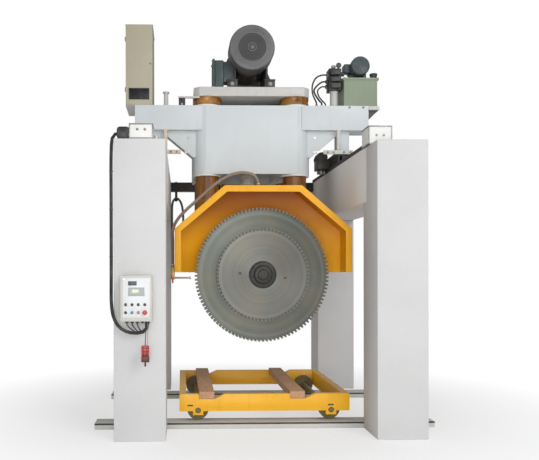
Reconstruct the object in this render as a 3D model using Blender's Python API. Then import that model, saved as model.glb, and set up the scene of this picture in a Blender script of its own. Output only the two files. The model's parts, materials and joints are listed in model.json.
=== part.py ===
"""Four-column masonry saw: a travelling bridge on a concrete frame lowers stepped blades onto a block cart.

Metres, +X right, +Y to the back, +Z up. The layout below is centred on the four pillars. One empty
moves it all so that the origin lies under the middle of the saw's bounding box.
"""
import math

import bmesh
import bpy
import numpy as np
from mathutils import Vector

# Clearances
GAP = 0.0003             # between faces that touch
RUNNING = 0.002          # between a sliding or turning piece and what holds it

# Concrete frame
PILLAR_WIDTH = 0.55
PILLAR_HEIGHT = 3.20
PILLAR_SPAN_X = 2.80     # between pillar centres
PILLAR_SPAN_Y = 3.09
BEAM_HEIGHT = 0.62
SEAT_DEPTH = 0.12        # how far a beam reaches onto its pillar
TIE_HEIGHT = 0.14
TIE_WIDTH = 0.14

# Rails on the side beams
RAIL_INSET = 0.14        # from the beam's middle towards the saw's middle
RAIL_BASE_WIDTH = 0.16
RAIL_BASE_THICKNESS = 0.015
RAIL_HEAD_WIDTH = 0.07
RAIL_HEIGHT = 0.09
RAIL_END_MARGIN = 0.29   # bare pillar top in front of the rail
RACK_WIDTH = 0.035
RACK_HEIGHT = 0.05

# Floor tracks
TRACK_LENGTH = 3.90
TRACK_HEIGHT = 0.07
TRACK_WIDTH = 0.24

# Bridge
COLUMN_RADIUS = 0.16
COLUMN_X = 0.605
COLUMN_FRONT_Y = 0.33
COLUMN_REAR_Y = 1.05
SLEEVE_RADIUS = 0.20
HOUSING_BOTTOM = 3.116
HOUSING_HEIGHT = 0.927
HOUSING_WALL = 0.03
HOUSING_TOP_PLATE = 0.04
ARM_REACH = 1.585        # outer end of an arm from the middle
ARM_DEPTH = 0.36
ARM_HEIGHT = 0.331
HAUNCH_DROP = 0.36
HAUNCH_THICKNESS = 0.20
HAUNCH_BEND = 0.05       # below the arm, where the haunch starts to slope
LEG_WIDTH = 0.16
TRUCK_WIDTH = 0.18
TRUCK_HEIGHT = 0.20
TRUCK_LENGTH = 1.16
TRUCK_LAP = 0.055        # how far a truck reaches down beside its rail

# Travel drive
PINION_RADIUS = 0.06
GEARBOX_WIDTH = 0.15
GEARBOX_LENGTH = 0.26
GEARBOX_HEIGHT = 0.13
GEARBOX_LIFT = 0.010     # above the rack
TRAVEL_MOTOR_RADIUS = 0.075
TRAVEL_MOTOR_LENGTH = 0.30
TRAVEL_MOTOR_LEAD = 0.12 # in front of the pinion's axis

# Lift cylinder
BARREL_RADIUS = 0.125
BARREL_NECK_RADIUS = 0.085
BARREL_DROP = 0.076      # below the housing
BARREL_RISE = 0.082      # above the housing
BARREL_FLANGE_REACH = 0.045
BARREL_FLANGE = 0.03
ROD_RADIUS = 0.055

# Head
PLATFORM_HALF_WIDTH = 0.79
PLATFORM_LIFT = 0.131    # above the housing at the lowest setting
PLATFORM_THICKNESS = 0.126
PLATFORM_CHAMFER = 0.075
CARRIAGE_TOP = 2.10
CARRIAGE_THICKNESS = 0.15
SPINDLE_Z = 1.757
SPINDLE_TUBE_RADIUS = 0.20
SPINDLE_TUBE_FRONT = -0.545
TUBE_FLANGE_REACH = 0.06
TUBE_FLANGE = 0.04
NOSE_WIDTH = 0.22
SHAFT_RADIUS = 0.07
MOTOR_Z = 4.83
MOTOR_RADIUS = 0.285
FAN_COVER_RADIUS = 0.31
MOTOR_FRONT = 0.12
MOTOR_LENGTH = 1.03
MOTOR_SHAFT_RADIUS = 0.04
MOTOR_FOOT_X = 0.26
MOTOR_FOOT_WIDTH = 0.12
FAN_COVER_LENGTH = 0.19
MOTOR_FLANGE_REACH = 0.02
MOTOR_FLANGE = 0.05
MOTOR_FLANGE_INSET = 0.10
TERMINALS_REACH = 0.53   # from the motor's axis
TERMINALS_START = 0.10   # behind the motor's front
TERMINALS_LENGTH = 0.30
TERMINALS_DROP = 0.11    # below the motor's axis
TERMINALS_LIFT = 0.02    # above the platform

# Belt drive
BELT_WIDTH = 0.15
BELT_THICKNESS = 0.018
MOTOR_PULLEY_RADIUS = 0.14
SPINDLE_PULLEY_RADIUS = 0.36
BELT_GUARD_FRONT = 1.29
BELT_GUARD_DEPTH = 0.23
BELT_GUARD_CLEARANCE = 0.07
SHEET = 0.004

# Blades
LARGE_BLADE_RADIUS = 0.80
SMALL_BLADE_RADIUS = 0.55
LARGE_TEETH = 108
SMALL_TEETH = 74
TOOTH_DEPTH = 0.020
BLADE_THICKNESS = 0.010
BLADE_REAR_Y = -0.80
BLADE_FRONT_Y = -0.93
BLADE_SMALL_Y = -1.00
SPACER_RADIUS = 0.16
FLANGE_FRONT = -0.66     # front face of the shaft's own flange
CLAMP_THICKNESS = 0.035
NUT_RADIUS = 0.105
NUT_THICKNESS = 0.025
SHAFT_STUB = 0.045       # shaft in front of the clamp flange

# Blade guard
GUARD_HALF_WIDTH = 1.04
GUARD_TOP_HALF_WIDTH = 0.452
GUARD_BOTTOM = 1.786
GUARD_SHOULDER = 2.295
GUARD_TOP = 2.802
GUARD_FRONT = -1.108
GUARD_WALL = 0.012
GUARD_LIP = 0.075

# Water valve
VALVE_SIZE = 0.05
VALVE_TOP = 1.86
VALVE_HEIGHT = 0.16
VALVE_Y = -0.83
LEVER_LENGTH = 0.08
LEVER_THICKNESS = 0.006
WATER_HOSE_DIAMETER = 0.032
INLET_X = -0.030
INLET_RADIUS = 0.024
INLET_HEIGHT = 0.030
SPRAY_RADIUS = 0.010

# Hydraulic pack
TANK_X = (1.254, 1.708)
TANK_DEPTH = 0.46
TANK_HEIGHT = 0.36
TANK_LID = 0.025
PUMP_X = 1.491
PUMP_RADIUS = 0.13
PUMP_LENGTH = 0.36
PUMP_LIFT = 0.05         # feet under the pump motor
PUMP_COVER_LENGTH = 0.09
PUMP_TERMINALS = 0.12    # the terminal box's length and height
PUMP_TERMINALS_REACH = 0.07
FILLER_RADIUS = 0.045
FILLER_HEIGHT = 0.075
VALVE_BLOCK_POST_RADIUS = 0.05
VALVE_BLOCK_POST = 0.23
VALVE_BLOCK_HEIGHT = 0.30
VALVE_BLOCK_WIDTH = 0.17
VALVE_BLOCK_DEPTH = 0.18
VALVE_PORT_HEIGHT = 0.14
VALVE_PORT_RADIUS = 0.026
VALVE_PORT_LENGTH = 0.03
OIL_PORT_X = 0.97
OIL_PORT_RADIUS = 0.028
OIL_PORT_HEIGHT = 0.03
OIL_HOSE_DIAMETER = 0.032

# Electric cabinet
CABINET_X = (-1.708, -1.348)
CABINET_DEPTH = 0.62
CABINET_HEIGHT = 1.085
CABINET_SHEET = 0.012
CABINET_DOOR = 0.025

# Control box on the front left pillar
CONTROL_WIDTH = 0.32
CONTROL_HEIGHT = 0.47
CONTROL_DEPTH = 0.16
CONTROL_SHEET = 0.010
CONTROL_LID = 0.020
CONTROL_X = -1.426
CONTROL_Z = 1.517
BUTTON_RADIUS = 0.015
ESTOP_RADIUS = 0.024
BUTTON_TRAVEL = 0.004
BUTTON_ROW = 0.144       # below the box's middle
JUNCTION_SIZE = (0.135, 0.18, 0.135)
PENDANT_SIZE = (0.080, 0.045, 0.170)
PENDANT_TOP = 1.03
PENDANT_X = -1.334
PENDANT_WIRE = 0.012
CABLE_DIAMETER = 0.036
CORD_LEAD = 0.02         # straight start and end of each cord

# Cart
CART_LENGTH = 1.97
CART_FRONT = -1.19
CART_DEPTH = 1.90
CART_TOP = 0.382
CART_BOTTOM = 0.186
CART_RAIL = 0.08         # thickness of the long beams
WHEEL_RADIUS = 0.125
WHEEL_WIDTH = 0.07
WHEEL_INSET = 0.215      # from the cart's end to a wheel's axis
WHEEL_CLEARANCE = 0.02   # between a wheel and the cart's beam
AXLE_RADIUS = 0.03
AXLE_BRACKET = 0.12
TIMBER_WIDTH = 0.175
TIMBER_HEIGHT = 0.085
TIMBER_TOP = 0.41
TIMBER_LEFT_INSET = 0.315
TIMBER_RIGHT_INSET = 0.605
NOTCH_SLOPE = 0.13       # how far a notch's right side leans out

# Worked out from the sizes above
HALF_PILLAR = PILLAR_WIDTH / 2
PILLAR_X = PILLAR_SPAN_X / 2
PILLAR_Y = PILLAR_SPAN_Y / 2
FRAME_FRONT = -PILLAR_Y - HALF_PILLAR
FRAME_REAR = -FRAME_FRONT
PASSAGE = PILLAR_Y - HALF_PILLAR
RAIL_X = PILLAR_X - RAIL_INSET
RAIL_TOP = PILLAR_HEIGHT + RAIL_HEIGHT
HOUSING_TOP = HOUSING_BOTTOM + HOUSING_HEIGHT
HOUSING_X = COLUMN_X + SLEEVE_RADIUS
HOUSING_FRONT = COLUMN_FRONT_Y - SLEEVE_RADIUS
HOUSING_REAR = COLUMN_REAR_Y + SLEEVE_RADIUS
HEAD_MIDDLE_Y = (COLUMN_FRONT_Y + COLUMN_REAR_Y) / 2
TRUCK_TOP = RAIL_TOP - TRUCK_LAP + TRUCK_HEIGHT
PLATFORM_BOTTOM = HOUSING_TOP + PLATFORM_LIFT
PLATFORM_TOP = PLATFORM_BOTTOM + PLATFORM_THICKNESS
PLATE_REAR = BELT_GUARD_FRONT - GAP
CARRIAGE_BOTTOM = CARRIAGE_TOP - CARRIAGE_THICKNESS
MOTOR_REAR = MOTOR_FRONT + MOTOR_LENGTH
BELT_Y = BELT_GUARD_FRONT + BELT_GUARD_DEPTH / 2
BRIDGE_TOP = HOUSING_TOP + GAP
TANK_BOTTOM = BRIDGE_TOP
TANK_TOP = TANK_BOTTOM + TANK_HEIGHT + TANK_LID
WHEEL_Z = TRACK_HEIGHT + WHEEL_RADIUS + GAP
CART_REAR = CART_FRONT + CART_DEPTH
WHEEL_X = CART_LENGTH / 2 - WHEEL_INSET
TIMBER_X = (TIMBER_LEFT_INSET - CART_LENGTH / 2, CART_LENGTH / 2 - TIMBER_RIGHT_INSET)
PINION_X = PILLAR_X - HALF_PILLAR - PINION_RADIUS
PINION_Y = HOUSING_FRONT + ARM_DEPTH + GEARBOX_LENGTH
OIL_PORT_Y = HOUSING_FRONT + ARM_DEPTH / 3
TANK_FRONT = HOUSING_FRONT + 0.015
TANK_LID_REACH = 0.02
VALVE_BLOCK_X = TANK_X[0] - TANK_LID_REACH - 0.003 - VALVE_BLOCK_WIDTH / 2
VALVE_BLOCK_Y = HOUSING_FRONT + 0.16
VALVE_BLOCK_BOTTOM = BRIDGE_TOP + VALVE_BLOCK_POST
OIL_HOSE_TOP = VALVE_BLOCK_BOTTOM + VALVE_PORT_HEIGHT
CONTROL_BACK = FRAME_FRONT - GAP
CONTROL_FRONT = CONTROL_BACK - CONTROL_DEPTH
LID_FRONT = CONTROL_FRONT - GAP - CONTROL_LID
BUTTON_HEIGHT = 0.016
ESTOP_HEIGHT = 0.030
BUTTON_Z = CONTROL_Z - BUTTON_ROW
BUTTON_X = {"start_button": CONTROL_X - 0.041, "emergency_stop": CONTROL_X + 0.090}
CLAMP_FRONT = BLADE_SMALL_Y - BLADE_THICKNESS / 2 - GAP - CLAMP_THICKNESS
SAW_FRONT = LID_FRONT - BUTTON_TRAVEL - ESTOP_HEIGHT
FRAME_SHIFT_Y = -(SAW_FRONT + FRAME_REAR) / 2
VALVE_X = -GUARD_HALF_WIDTH - GAP - VALVE_SIZE / 2


# Materials

def material(name: str, colour: tuple, roughness: float, metallic: float = 0.0) -> bpy.types.Material:
    """A Principled material of one colour."""
    made = bpy.data.materials.new(name)
    made.use_nodes = True
    shader = made.node_tree.nodes["Principled BSDF"]
    shader.inputs["Base Color"].default_value = (*colour, 1.0)
    shader.inputs["Roughness"].default_value = roughness
    shader.inputs["Metallic"].default_value = metallic
    return made


COLOURS = {
    "concrete": ((0.62, 0.62, 0.60), 0.90, 0.0),
    "bridge_paint": ((0.56, 0.62, 0.65), 0.45, 0.0),
    "pale_paint": ((0.70, 0.69, 0.66), 0.45, 0.0),
    "yellow_paint": ((0.85, 0.42, 0.03), 0.45, 0.0),
    "green_paint": ((0.30, 0.38, 0.27), 0.45, 0.0),
    "cabinet_paint": ((0.47, 0.42, 0.32), 0.50, 0.0),
    "motor_paint": ((0.10, 0.10, 0.11), 0.45, 0.2),
    "dark_paint": ((0.04, 0.04, 0.04), 0.50, 0.0),
    "greased_steel": ((0.36, 0.14, 0.02), 0.35, 0.7),
    "steel": ((0.50, 0.50, 0.48), 0.35, 1.0),
    "blade_steel": ((0.33, 0.35, 0.33), 0.40, 1.0),
    "chrome": ((0.75, 0.75, 0.75), 0.10, 1.0),
    "black_rubber": ((0.02, 0.02, 0.02), 0.70, 0.0),
    "hose_rubber": ((0.20, 0.17, 0.14), 0.60, 0.0),
    "black_plastic": ((0.03, 0.03, 0.03), 0.45, 0.0),
    "red_plastic": ((0.55, 0.03, 0.03), 0.40, 0.0),
    "green_plastic": ((0.03, 0.30, 0.20), 0.40, 0.0),
    "brass": ((0.60, 0.42, 0.15), 0.35, 1.0),
    "timber": ((0.52, 0.25, 0.10), 0.80, 0.0),
}
MATERIALS = {}


# Shapes

def object_from(name: str, build: bmesh.types.BMesh, finish: str) -> bpy.types.Object:
    """Turns a bmesh into an object with faces pointing out."""
    bmesh.ops.recalc_face_normals(build, faces=build.faces)
    mesh = bpy.data.meshes.new(name)
    build.to_mesh(mesh)
    build.free()
    mesh.materials.append(MATERIALS[finish])
    made = bpy.data.objects.new(name, mesh)
    bpy.context.scene.collection.objects.link(made)
    return made


def box(name: str, x: tuple, y: tuple, z: tuple, finish: str = "steel") -> bpy.types.Object:
    """A block between two values on each axis."""
    return prism(name, [(x[0], y[0]), (x[1], y[0]), (x[1], y[1]), (x[0], y[1])], "Z", z, finish)


def on_axis(axis: str, a: float, b: float, along: float) -> tuple:
    """Places a profile point: a and b are the two other coordinates in XYZ order."""
    return {"X": (along, a, b), "Y": (a, along, b), "Z": (a, b, along)}[axis]


def prism(name: str, outline: list, axis: str, span: tuple, finish: str = "steel") -> bpy.types.Object:
    """Extrudes an outline along an axis."""
    build = bmesh.new()
    rings = [[build.verts.new(on_axis(axis, a, b, along)) for a, b in outline] for along in span]
    build.faces.new(rings[0])
    build.faces.new(rings[1])
    for i in range(len(outline)):
        j = (i + 1) % len(outline)
        build.faces.new((rings[0][i], rings[0][j], rings[1][j], rings[1][i]))
    return object_from(name, build, finish)


def lofted(name: str, rings: list, finish: str, closed: bool) -> bpy.types.Object:
    """Joins rings of equally many points, ends capped or the last ring joined to the first."""
    build = bmesh.new()
    made = [[build.verts.new(point) for point in ring] for ring in rings]
    count = len(rings[0])
    pairs = list(zip(made, made[1:])) + ([(made[-1], made[0])] if closed else [])
    for lower, upper in pairs:
        for i in range(count):
            j = (i + 1) % count
            build.faces.new((lower[i], lower[j], upper[j], upper[i]))
    if not closed:
        build.faces.new(made[0])
        build.faces.new(made[-1])
    return object_from(name, build, finish)


def turned(name: str, profile: list, centre: tuple, axis: str, finish: str = "steel",
           segments: int = 32, bored: bool = False) -> bpy.types.Object:
    """Turns a profile of (radius, place on the axis) about an axis through two coordinates."""
    angles = [2 * math.pi * i / segments for i in range(segments)]
    rings = [
        [on_axis(axis, centre[0] + radius * math.cos(a), centre[1] + radius * math.sin(a), along)
         for a in angles]
        for radius, along in profile
    ]
    made = lofted(name, rings, finish, bored)
    made.data.shade_smooth()
    made.data.set_sharp_from_angle(angle=math.radians(35))
    return made


def combine(target: bpy.types.Object, operation: str, *tools: bpy.types.Object) -> bpy.types.Object:
    """Adds or cuts other shapes and removes them."""
    for tool in tools:
        modifier = target.modifiers.new(operation.lower(), "BOOLEAN")
        modifier.operation = operation
        modifier.object = tool
        bpy.context.view_layer.objects.active = target
        bpy.ops.object.modifier_apply(modifier=modifier.name)
        bpy.data.objects.remove(tool)
    return target


def rounded_rectangle(half_x: float, front: float, rear: float, radius: float,
                      steps: int = 6) -> list:
    """An outline in the floor plane with round corners."""
    corners = [(half_x - radius, front + radius, -90), (half_x - radius, rear - radius, 0),
               (radius - half_x, rear - radius, 90), (radius - half_x, front + radius, 180)]
    points = []
    for x, y, start in corners:
        for i in range(steps + 1):
            angle = math.radians(start + 90 * i / steps)
            points.append((x + radius * math.cos(angle), y + radius * math.sin(angle)))
    return points


def cord(name: str, route: list, diameter: float, finish: str, spacing: float) -> bpy.types.Object:
    """A tube along a smooth curve through the route's points."""
    points = smooth_route(route, spacing)
    curve = bpy.data.curves.new(name, "CURVE")
    curve.dimensions = "3D"
    curve.bevel_depth = diameter / 2
    curve.bevel_resolution = 2
    curve.use_fill_caps = True
    spline = curve.splines.new("POLY")
    spline.points.add(len(points) - 1)
    for target, point in zip(spline.points, points):
        target.co = (*point, 1.0)
    curve.materials.append(MATERIALS[finish])
    made = bpy.data.objects.new(name, curve)
    bpy.context.scene.collection.objects.link(made)
    return made


def smooth_route(route: list, spacing: float) -> list:
    """Points at an even spacing along a Catmull-Rom curve through the route, after a short straight lead."""
    knots = [Vector(point) for point in route]
    knots = [2 * knots[0] - knots[1]] + knots + [2 * knots[-1] - knots[-2]]
    fine = []
    for before, start, end, after in zip(knots, knots[1:], knots[2:], knots[3:]):
        for step in np.linspace(0.0, 1.0, 40, endpoint=False):
            t = float(step)
            fine.append(0.5 * (2 * start + (end - before) * t
                               + (2 * before - 5 * start + 4 * end - after) * t * t
                               + (3 * start - before - 3 * end + after) * t ** 3))
    fine.append(knots[-2])
    lengths = [0.0]
    for first, second in zip(fine, fine[1:]):
        lengths.append(lengths[-1] + (second - first).length)
    between = lengths[-1] - 2 * CORD_LEAD
    count = max(2, round(between / spacing))
    wanted = [0.0] + [CORD_LEAD + between * i / count for i in range(count + 1)] + [lengths[-1]]
    points = [tuple(float(np.interp(place, lengths, [p[k] for p in fine])) for k in range(3))
              for place in wanted]
    points[1] = tuple(knots[1] + CORD_LEAD * (knots[2] - knots[1]).normalized())
    points[-2] = tuple(knots[-2] + CORD_LEAD * (knots[-3] - knots[-2]).normalized())
    return points


# Concrete frame

def add_pillars() -> list:
    """Four pillars, each with a seat for its beam on the side that faces the other row."""
    made = []
    seat = PILLAR_HEIGHT - BEAM_HEIGHT
    for side, x in (("left", -PILLAR_X), ("right", PILLAR_X)):
        for row, sign in (("front", -1), ("rear", 1)):
            inner, outer = sign * PASSAGE, sign * (PILLAR_Y + HALF_PILLAR)
            back_of_seat = sign * (PASSAGE + SEAT_DEPTH)
            outline = [(inner, 0.0), (outer, 0.0), (outer, PILLAR_HEIGHT),
                       (back_of_seat, PILLAR_HEIGHT), (back_of_seat, seat), (inner, seat)]
            made.append(prism(f"pillar_{row}_{side}", outline, "X",
                              (x - HALF_PILLAR, x + HALF_PILLAR), "concrete"))
    return made


def add_beams() -> list:
    """Two side beams in the pillars' seats and the tie between the rear pillars."""
    reach = PASSAGE + SEAT_DEPTH - GAP
    bottom = PILLAR_HEIGHT - BEAM_HEIGHT + GAP
    made = [box(f"side_beam_{side}", (x - HALF_PILLAR, x + HALF_PILLAR), (-reach, reach),
                (bottom, PILLAR_HEIGHT), "concrete")
            for side, x in (("left", -PILLAR_X), ("right", PILLAR_X))]
    half = PILLAR_X - HALF_PILLAR - GAP
    rear = FRAME_REAR - SEAT_DEPTH / 2
    made.append(box("rear_tie_beam", (-half, half), (rear - TIE_WIDTH, rear),
                    (PILLAR_HEIGHT - TIE_HEIGHT, PILLAR_HEIGHT), "dark_paint"))
    return made


def add_rails() -> list:
    """A flat-bottomed rail on each side beam, the rack beside the right one, and the floor tracks."""
    bottom = PILLAR_HEIGHT + GAP
    shoulder = bottom + RAIL_BASE_THICKNESS
    ends = (FRAME_FRONT + RAIL_END_MARGIN, FRAME_REAR - RAIL_END_MARGIN / 3)
    base, head = RAIL_BASE_WIDTH / 2, RAIL_HEAD_WIDTH / 2
    made = []
    for side, x in (("left", -RAIL_X), ("right", RAIL_X)):
        outline = [(x - base, bottom), (x + base, bottom), (x + base, shoulder),
                   (x + head, shoulder), (x + head, RAIL_TOP), (x - head, RAIL_TOP),
                   (x - head, shoulder), (x - base, shoulder)]
        made.append(prism(f"rail_{side}", outline, "Y", ends, "steel"))
    rack_left = PILLAR_X - HALF_PILLAR + GAP
    made.append(box("travel_rack", (rack_left, rack_left + RACK_WIDTH), ends,
                    (bottom, bottom + RACK_HEIGHT), "dark_paint"))
    front = -PASSAGE + GAP
    rear = CART_REAR - (front + TRACK_WIDTH - CART_FRONT)
    for name, y in (("track_front", front), ("track_rear", rear)):
        made.append(box(name, (-TRACK_LENGTH / 2, TRACK_LENGTH / 2), (y, y + TRACK_WIDTH),
                        (0.0, TRACK_HEIGHT), "concrete"))
    return made


# Bridge

def add_housing() -> bpy.types.Object:
    """The welded box with four sleeves that guide the columns, hollow between them and open below."""
    outline = rounded_rectangle(HOUSING_X, HOUSING_FRONT, HOUSING_REAR, SLEEVE_RADIUS)
    housing = prism("bridge_housing", outline, "Z", (HOUSING_BOTTOM, HOUSING_TOP), "bridge_paint")
    below, above = HOUSING_BOTTOM - SHEET, HOUSING_TOP + SHEET
    roof = HOUSING_TOP - HOUSING_TOP_PLATE
    web = SLEEVE_RADIUS + HOUSING_WALL
    bores = [turned("bore", [(COLUMN_RADIUS + RUNNING, below), (COLUMN_RADIUS + RUNNING, above)],
                    (x, y), "Z", segments=24)
             for x in (-COLUMN_X, COLUMN_X) for y in (COLUMN_FRONT_Y, COLUMN_REAR_Y)]
    middle = box("hollow", (web - COLUMN_X, COLUMN_X - web),
                 (HOUSING_FRONT + HOUSING_WALL, HOUSING_REAR - HOUSING_WALL), (below, roof))
    outer = HOUSING_X - HOUSING_WALL
    inner = COLUMN_X - SLEEVE_RADIUS + HOUSING_WALL
    sides = [box("hollow", (sign * inner, sign * outer),
                 (COLUMN_FRONT_Y + SLEEVE_RADIUS, COLUMN_REAR_Y - SLEEVE_RADIUS), (below, roof))
             for sign in (-1, 1)]
    wide = BARREL_RADIUS + RUNNING
    cylinder_hole = turned("hole", [(wide, roof - SHEET), (wide, above)], (0.0, HEAD_MIDDLE_Y), "Z")
    combine(housing, "DIFFERENCE", *bores, middle, *sides, cylinder_hole)
    return housing


def add_arms() -> list:
    """The two arms with a haunch and a leg that stands on the end truck."""
    made = []
    underside = HOUSING_TOP - ARM_HEIGHT
    middle = HOUSING_FRONT + ARM_DEPTH / 2
    root = COLUMN_X + RAIL_HEAD_WIDTH
    for side, sign in (("left", -1), ("right", 1)):
        beam = box(f"bridge_arm_{side}", (sign * root, sign * ARM_REACH),
                   (HOUSING_FRONT, HOUSING_FRONT + ARM_DEPTH), (underside, HOUSING_TOP), "bridge_paint")
        leg_out, leg_in = RAIL_X + LEG_WIDTH / 2, RAIL_X - LEG_WIDTH / 2
        lap = underside + ARM_HEIGHT / 4
        foot = TRUCK_TOP + GAP
        haunch = [(root, lap), (leg_out, lap), (leg_out, foot), (leg_in, foot),
                  (leg_in, underside - HAUNCH_BEND), (HOUSING_X, underside - HAUNCH_DROP),
                  (root, underside - HAUNCH_DROP)]
        web = prism("haunch", [(sign * x, z) for x, z in haunch], "Y",
                    (middle - HAUNCH_THICKNESS / 2, middle + HAUNCH_THICKNESS / 2))
        around = rounded_rectangle(HOUSING_X + GAP, HOUSING_FRONT - GAP, HOUSING_REAR + GAP,
                                   SLEEVE_RADIUS + GAP)
        sleeve = prism("sleeve", around, "Z", (HOUSING_BOTTOM - SHEET, HOUSING_TOP + SHEET))
        combine(beam, "UNION", web)
        combine(beam, "DIFFERENCE", sleeve)
        made.append(beam)
    port = turned("port", [(OIL_PORT_RADIUS, HOUSING_TOP - ARM_HEIGHT / 4),
                           (OIL_PORT_RADIUS, HOUSING_TOP + OIL_PORT_HEIGHT)],
                  (OIL_PORT_X, OIL_PORT_Y), "Z", segments=16)
    combine(made[1], "UNION", port)
    return made


def add_trucks() -> list:
    """End trucks: long shoes that straddle the rails."""
    made = []
    front = HOUSING_FRONT
    low = RAIL_TOP - TRUCK_LAP
    slot = RAIL_HEAD_WIDTH / 2 + RUNNING
    half = TRUCK_WIDTH / 2
    for side, x in (("left", -RAIL_X), ("right", RAIL_X)):
        outline = [(x - half, low), (x - slot, low), (x - slot, RAIL_TOP + GAP),
                   (x + slot, RAIL_TOP + GAP), (x + slot, low), (x + half, low),
                   (x + half, TRUCK_TOP), (x - half, TRUCK_TOP)]
        made.append(prism(f"end_truck_{side}", outline, "Y", (front, front + TRUCK_LENGTH),
                          "bridge_paint"))
    return made


def add_travel_drive() -> tuple:
    """The gearmotor beside the right truck, and its pinion on the rack."""
    bottom = PILLAR_HEIGHT + RACK_HEIGHT + GEARBOX_LIFT
    gearbox = box("travel_gearmotor", (PINION_X - GEARBOX_WIDTH / 2, RAIL_X - TRUCK_WIDTH / 2 - GAP),
                  (PINION_Y - GEARBOX_LENGTH / 2, PINION_Y + GEARBOX_LENGTH / 2),
                  (bottom, bottom + GEARBOX_HEIGHT), "dark_paint")
    radius, corner = TRAVEL_MOTOR_RADIUS, 0.01
    start = PINION_Y - TRAVEL_MOTOR_LEAD
    end = start + TRAVEL_MOTOR_LENGTH
    motor = turned("motor", [(radius - corner, start), (radius, start + corner), (radius, end - corner),
                             (radius - corner, end)],
                   (PINION_X, bottom + GEARBOX_HEIGHT + TRAVEL_MOTOR_RADIUS - 0.035), "Y", segments=24)
    combine(gearbox, "UNION", motor)
    pinion = turned("travel_pinion", [(PINION_RADIUS - 0.004, PILLAR_HEIGHT + 0.003),
                                      (PINION_RADIUS, PILLAR_HEIGHT + 0.007),
                                      (PINION_RADIUS, PILLAR_HEIGHT + RACK_HEIGHT - 0.004),
                                      (0.02, PILLAR_HEIGHT + RACK_HEIGHT - 0.004),
                                      (0.02, bottom - GAP)],
                    (PINION_X, PINION_Y), "Z", segments=28)
    return gearbox, pinion


def add_lift_cylinder() -> tuple:
    """The cylinder barrel hung in the housing's top plate, and the rod that carries the platform."""
    bottom = HOUSING_BOTTOM - BARREL_DROP
    top = HOUSING_TOP + BARREL_RISE
    seat = HOUSING_TOP + GAP
    bore = ROD_RADIUS + RUNNING
    flange, head = BARREL_RADIUS + BARREL_FLANGE_REACH, BARREL_RADIUS + 0.01
    floor = bottom + 0.04
    profile = [(BARREL_NECK_RADIUS, bottom), (BARREL_NECK_RADIUS, HOUSING_BOTTOM),
               (BARREL_RADIUS, HOUSING_BOTTOM + 0.03), (BARREL_RADIUS, seat), (flange, seat),
               (flange, seat + BARREL_FLANGE), (head, seat + BARREL_FLANGE), (head, top),
               (bore, top), (bore, floor)]
    centre = (0.0, HEAD_MIDDLE_Y)
    barrel = turned("lift_barrel", profile, centre, "Z", "pale_paint")
    rod = turned("lift_rod", [(ROD_RADIUS, floor + 0.01), (ROD_RADIUS, PLATFORM_BOTTOM - GAP)], centre,
                 "Z", "chrome")
    return barrel, rod


def add_oil_tank() -> bpy.types.Object:
    """The oil tank on the right arm, with its lid and filler."""
    rear = TANK_FRONT + TANK_DEPTH
    tank = box("oil_tank", TANK_X, (TANK_FRONT, rear), (TANK_BOTTOM, TANK_TOP - TANK_LID),
               "green_paint")
    lid = box("lid", (TANK_X[0] - TANK_LID_REACH, TANK_X[1] + TANK_LID_REACH),
              (TANK_FRONT - 0.012, rear + TANK_LID_REACH), (TANK_TOP - TANK_LID - SHEET, TANK_TOP))
    filler = turned("filler", [(FILLER_RADIUS, TANK_TOP - SHEET), (FILLER_RADIUS, TANK_TOP + FILLER_HEIGHT)],
                    (TANK_X[1] - FILLER_RADIUS * 2 / 3, TANK_FRONT + 0.08), "Z", segments=20)
    combine(tank, "UNION", lid, filler)
    return tank


def add_pump_motor() -> bpy.types.Object:
    """The pump's motor lying on the tank."""
    front = HOUSING_FRONT + 0.05
    z = TANK_TOP + GAP + PUMP_LIFT + PUMP_RADIUS
    body, cover_end = PUMP_RADIUS - 0.012, front + PUMP_COVER_LENGTH
    motor = turned("pump_motor", [(PUMP_RADIUS - 0.015, front), (PUMP_RADIUS, front + 0.015),
                                  (PUMP_RADIUS, cover_end), (body, cover_end),
                                  (body, front + PUMP_LENGTH)], (PUMP_X, z), "Y", "motor_paint")
    foot = box("foot", (PUMP_X - PUMP_RADIUS * 0.8, PUMP_X + PUMP_RADIUS * 0.8),
               (cover_end + 0.01, front + PUMP_LENGTH - 0.05), (TANK_TOP + GAP, z - PUMP_RADIUS * 0.7))
    terminals = box("terminals", (PUMP_X - PUMP_RADIUS - PUMP_TERMINALS_REACH, PUMP_X - PUMP_RADIUS * 0.7),
                    (cover_end + 0.01, cover_end + 0.01 + PUMP_TERMINALS),
                    (z - 0.07, z - 0.07 + PUMP_TERMINALS))
    combine(motor, "UNION", foot, terminals)
    return motor


def add_valve_block() -> bpy.types.Object:
    """The hydraulic valve block on its post, left of the tank."""
    half = VALVE_BLOCK_WIDTH / 2
    block = box("valve_block", (VALVE_BLOCK_X - half, VALVE_BLOCK_X + half),
                (VALVE_BLOCK_Y - VALVE_BLOCK_DEPTH / 2, VALVE_BLOCK_Y + VALVE_BLOCK_DEPTH / 2),
                (VALVE_BLOCK_BOTTOM, VALVE_BLOCK_BOTTOM + VALVE_BLOCK_HEIGHT), "black_plastic")
    radius = VALVE_BLOCK_POST_RADIUS
    foot = BRIDGE_TOP
    wide = radius * 1.4
    post = turned("post", [(wide, foot), (wide, foot + 0.02), (radius, foot + 0.02),
                           (radius, VALVE_BLOCK_BOTTOM + 0.01)], (VALVE_BLOCK_X, VALVE_BLOCK_Y), "Z",
                  segments=20)
    port = turned("port", [(VALVE_PORT_RADIUS, VALVE_BLOCK_X - half - VALVE_PORT_LENGTH),
                           (VALVE_PORT_RADIUS, VALVE_BLOCK_X)],
                  (VALVE_BLOCK_Y, OIL_HOSE_TOP), "X", segments=16)
    combine(block, "UNION", post, port)
    return block


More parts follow.
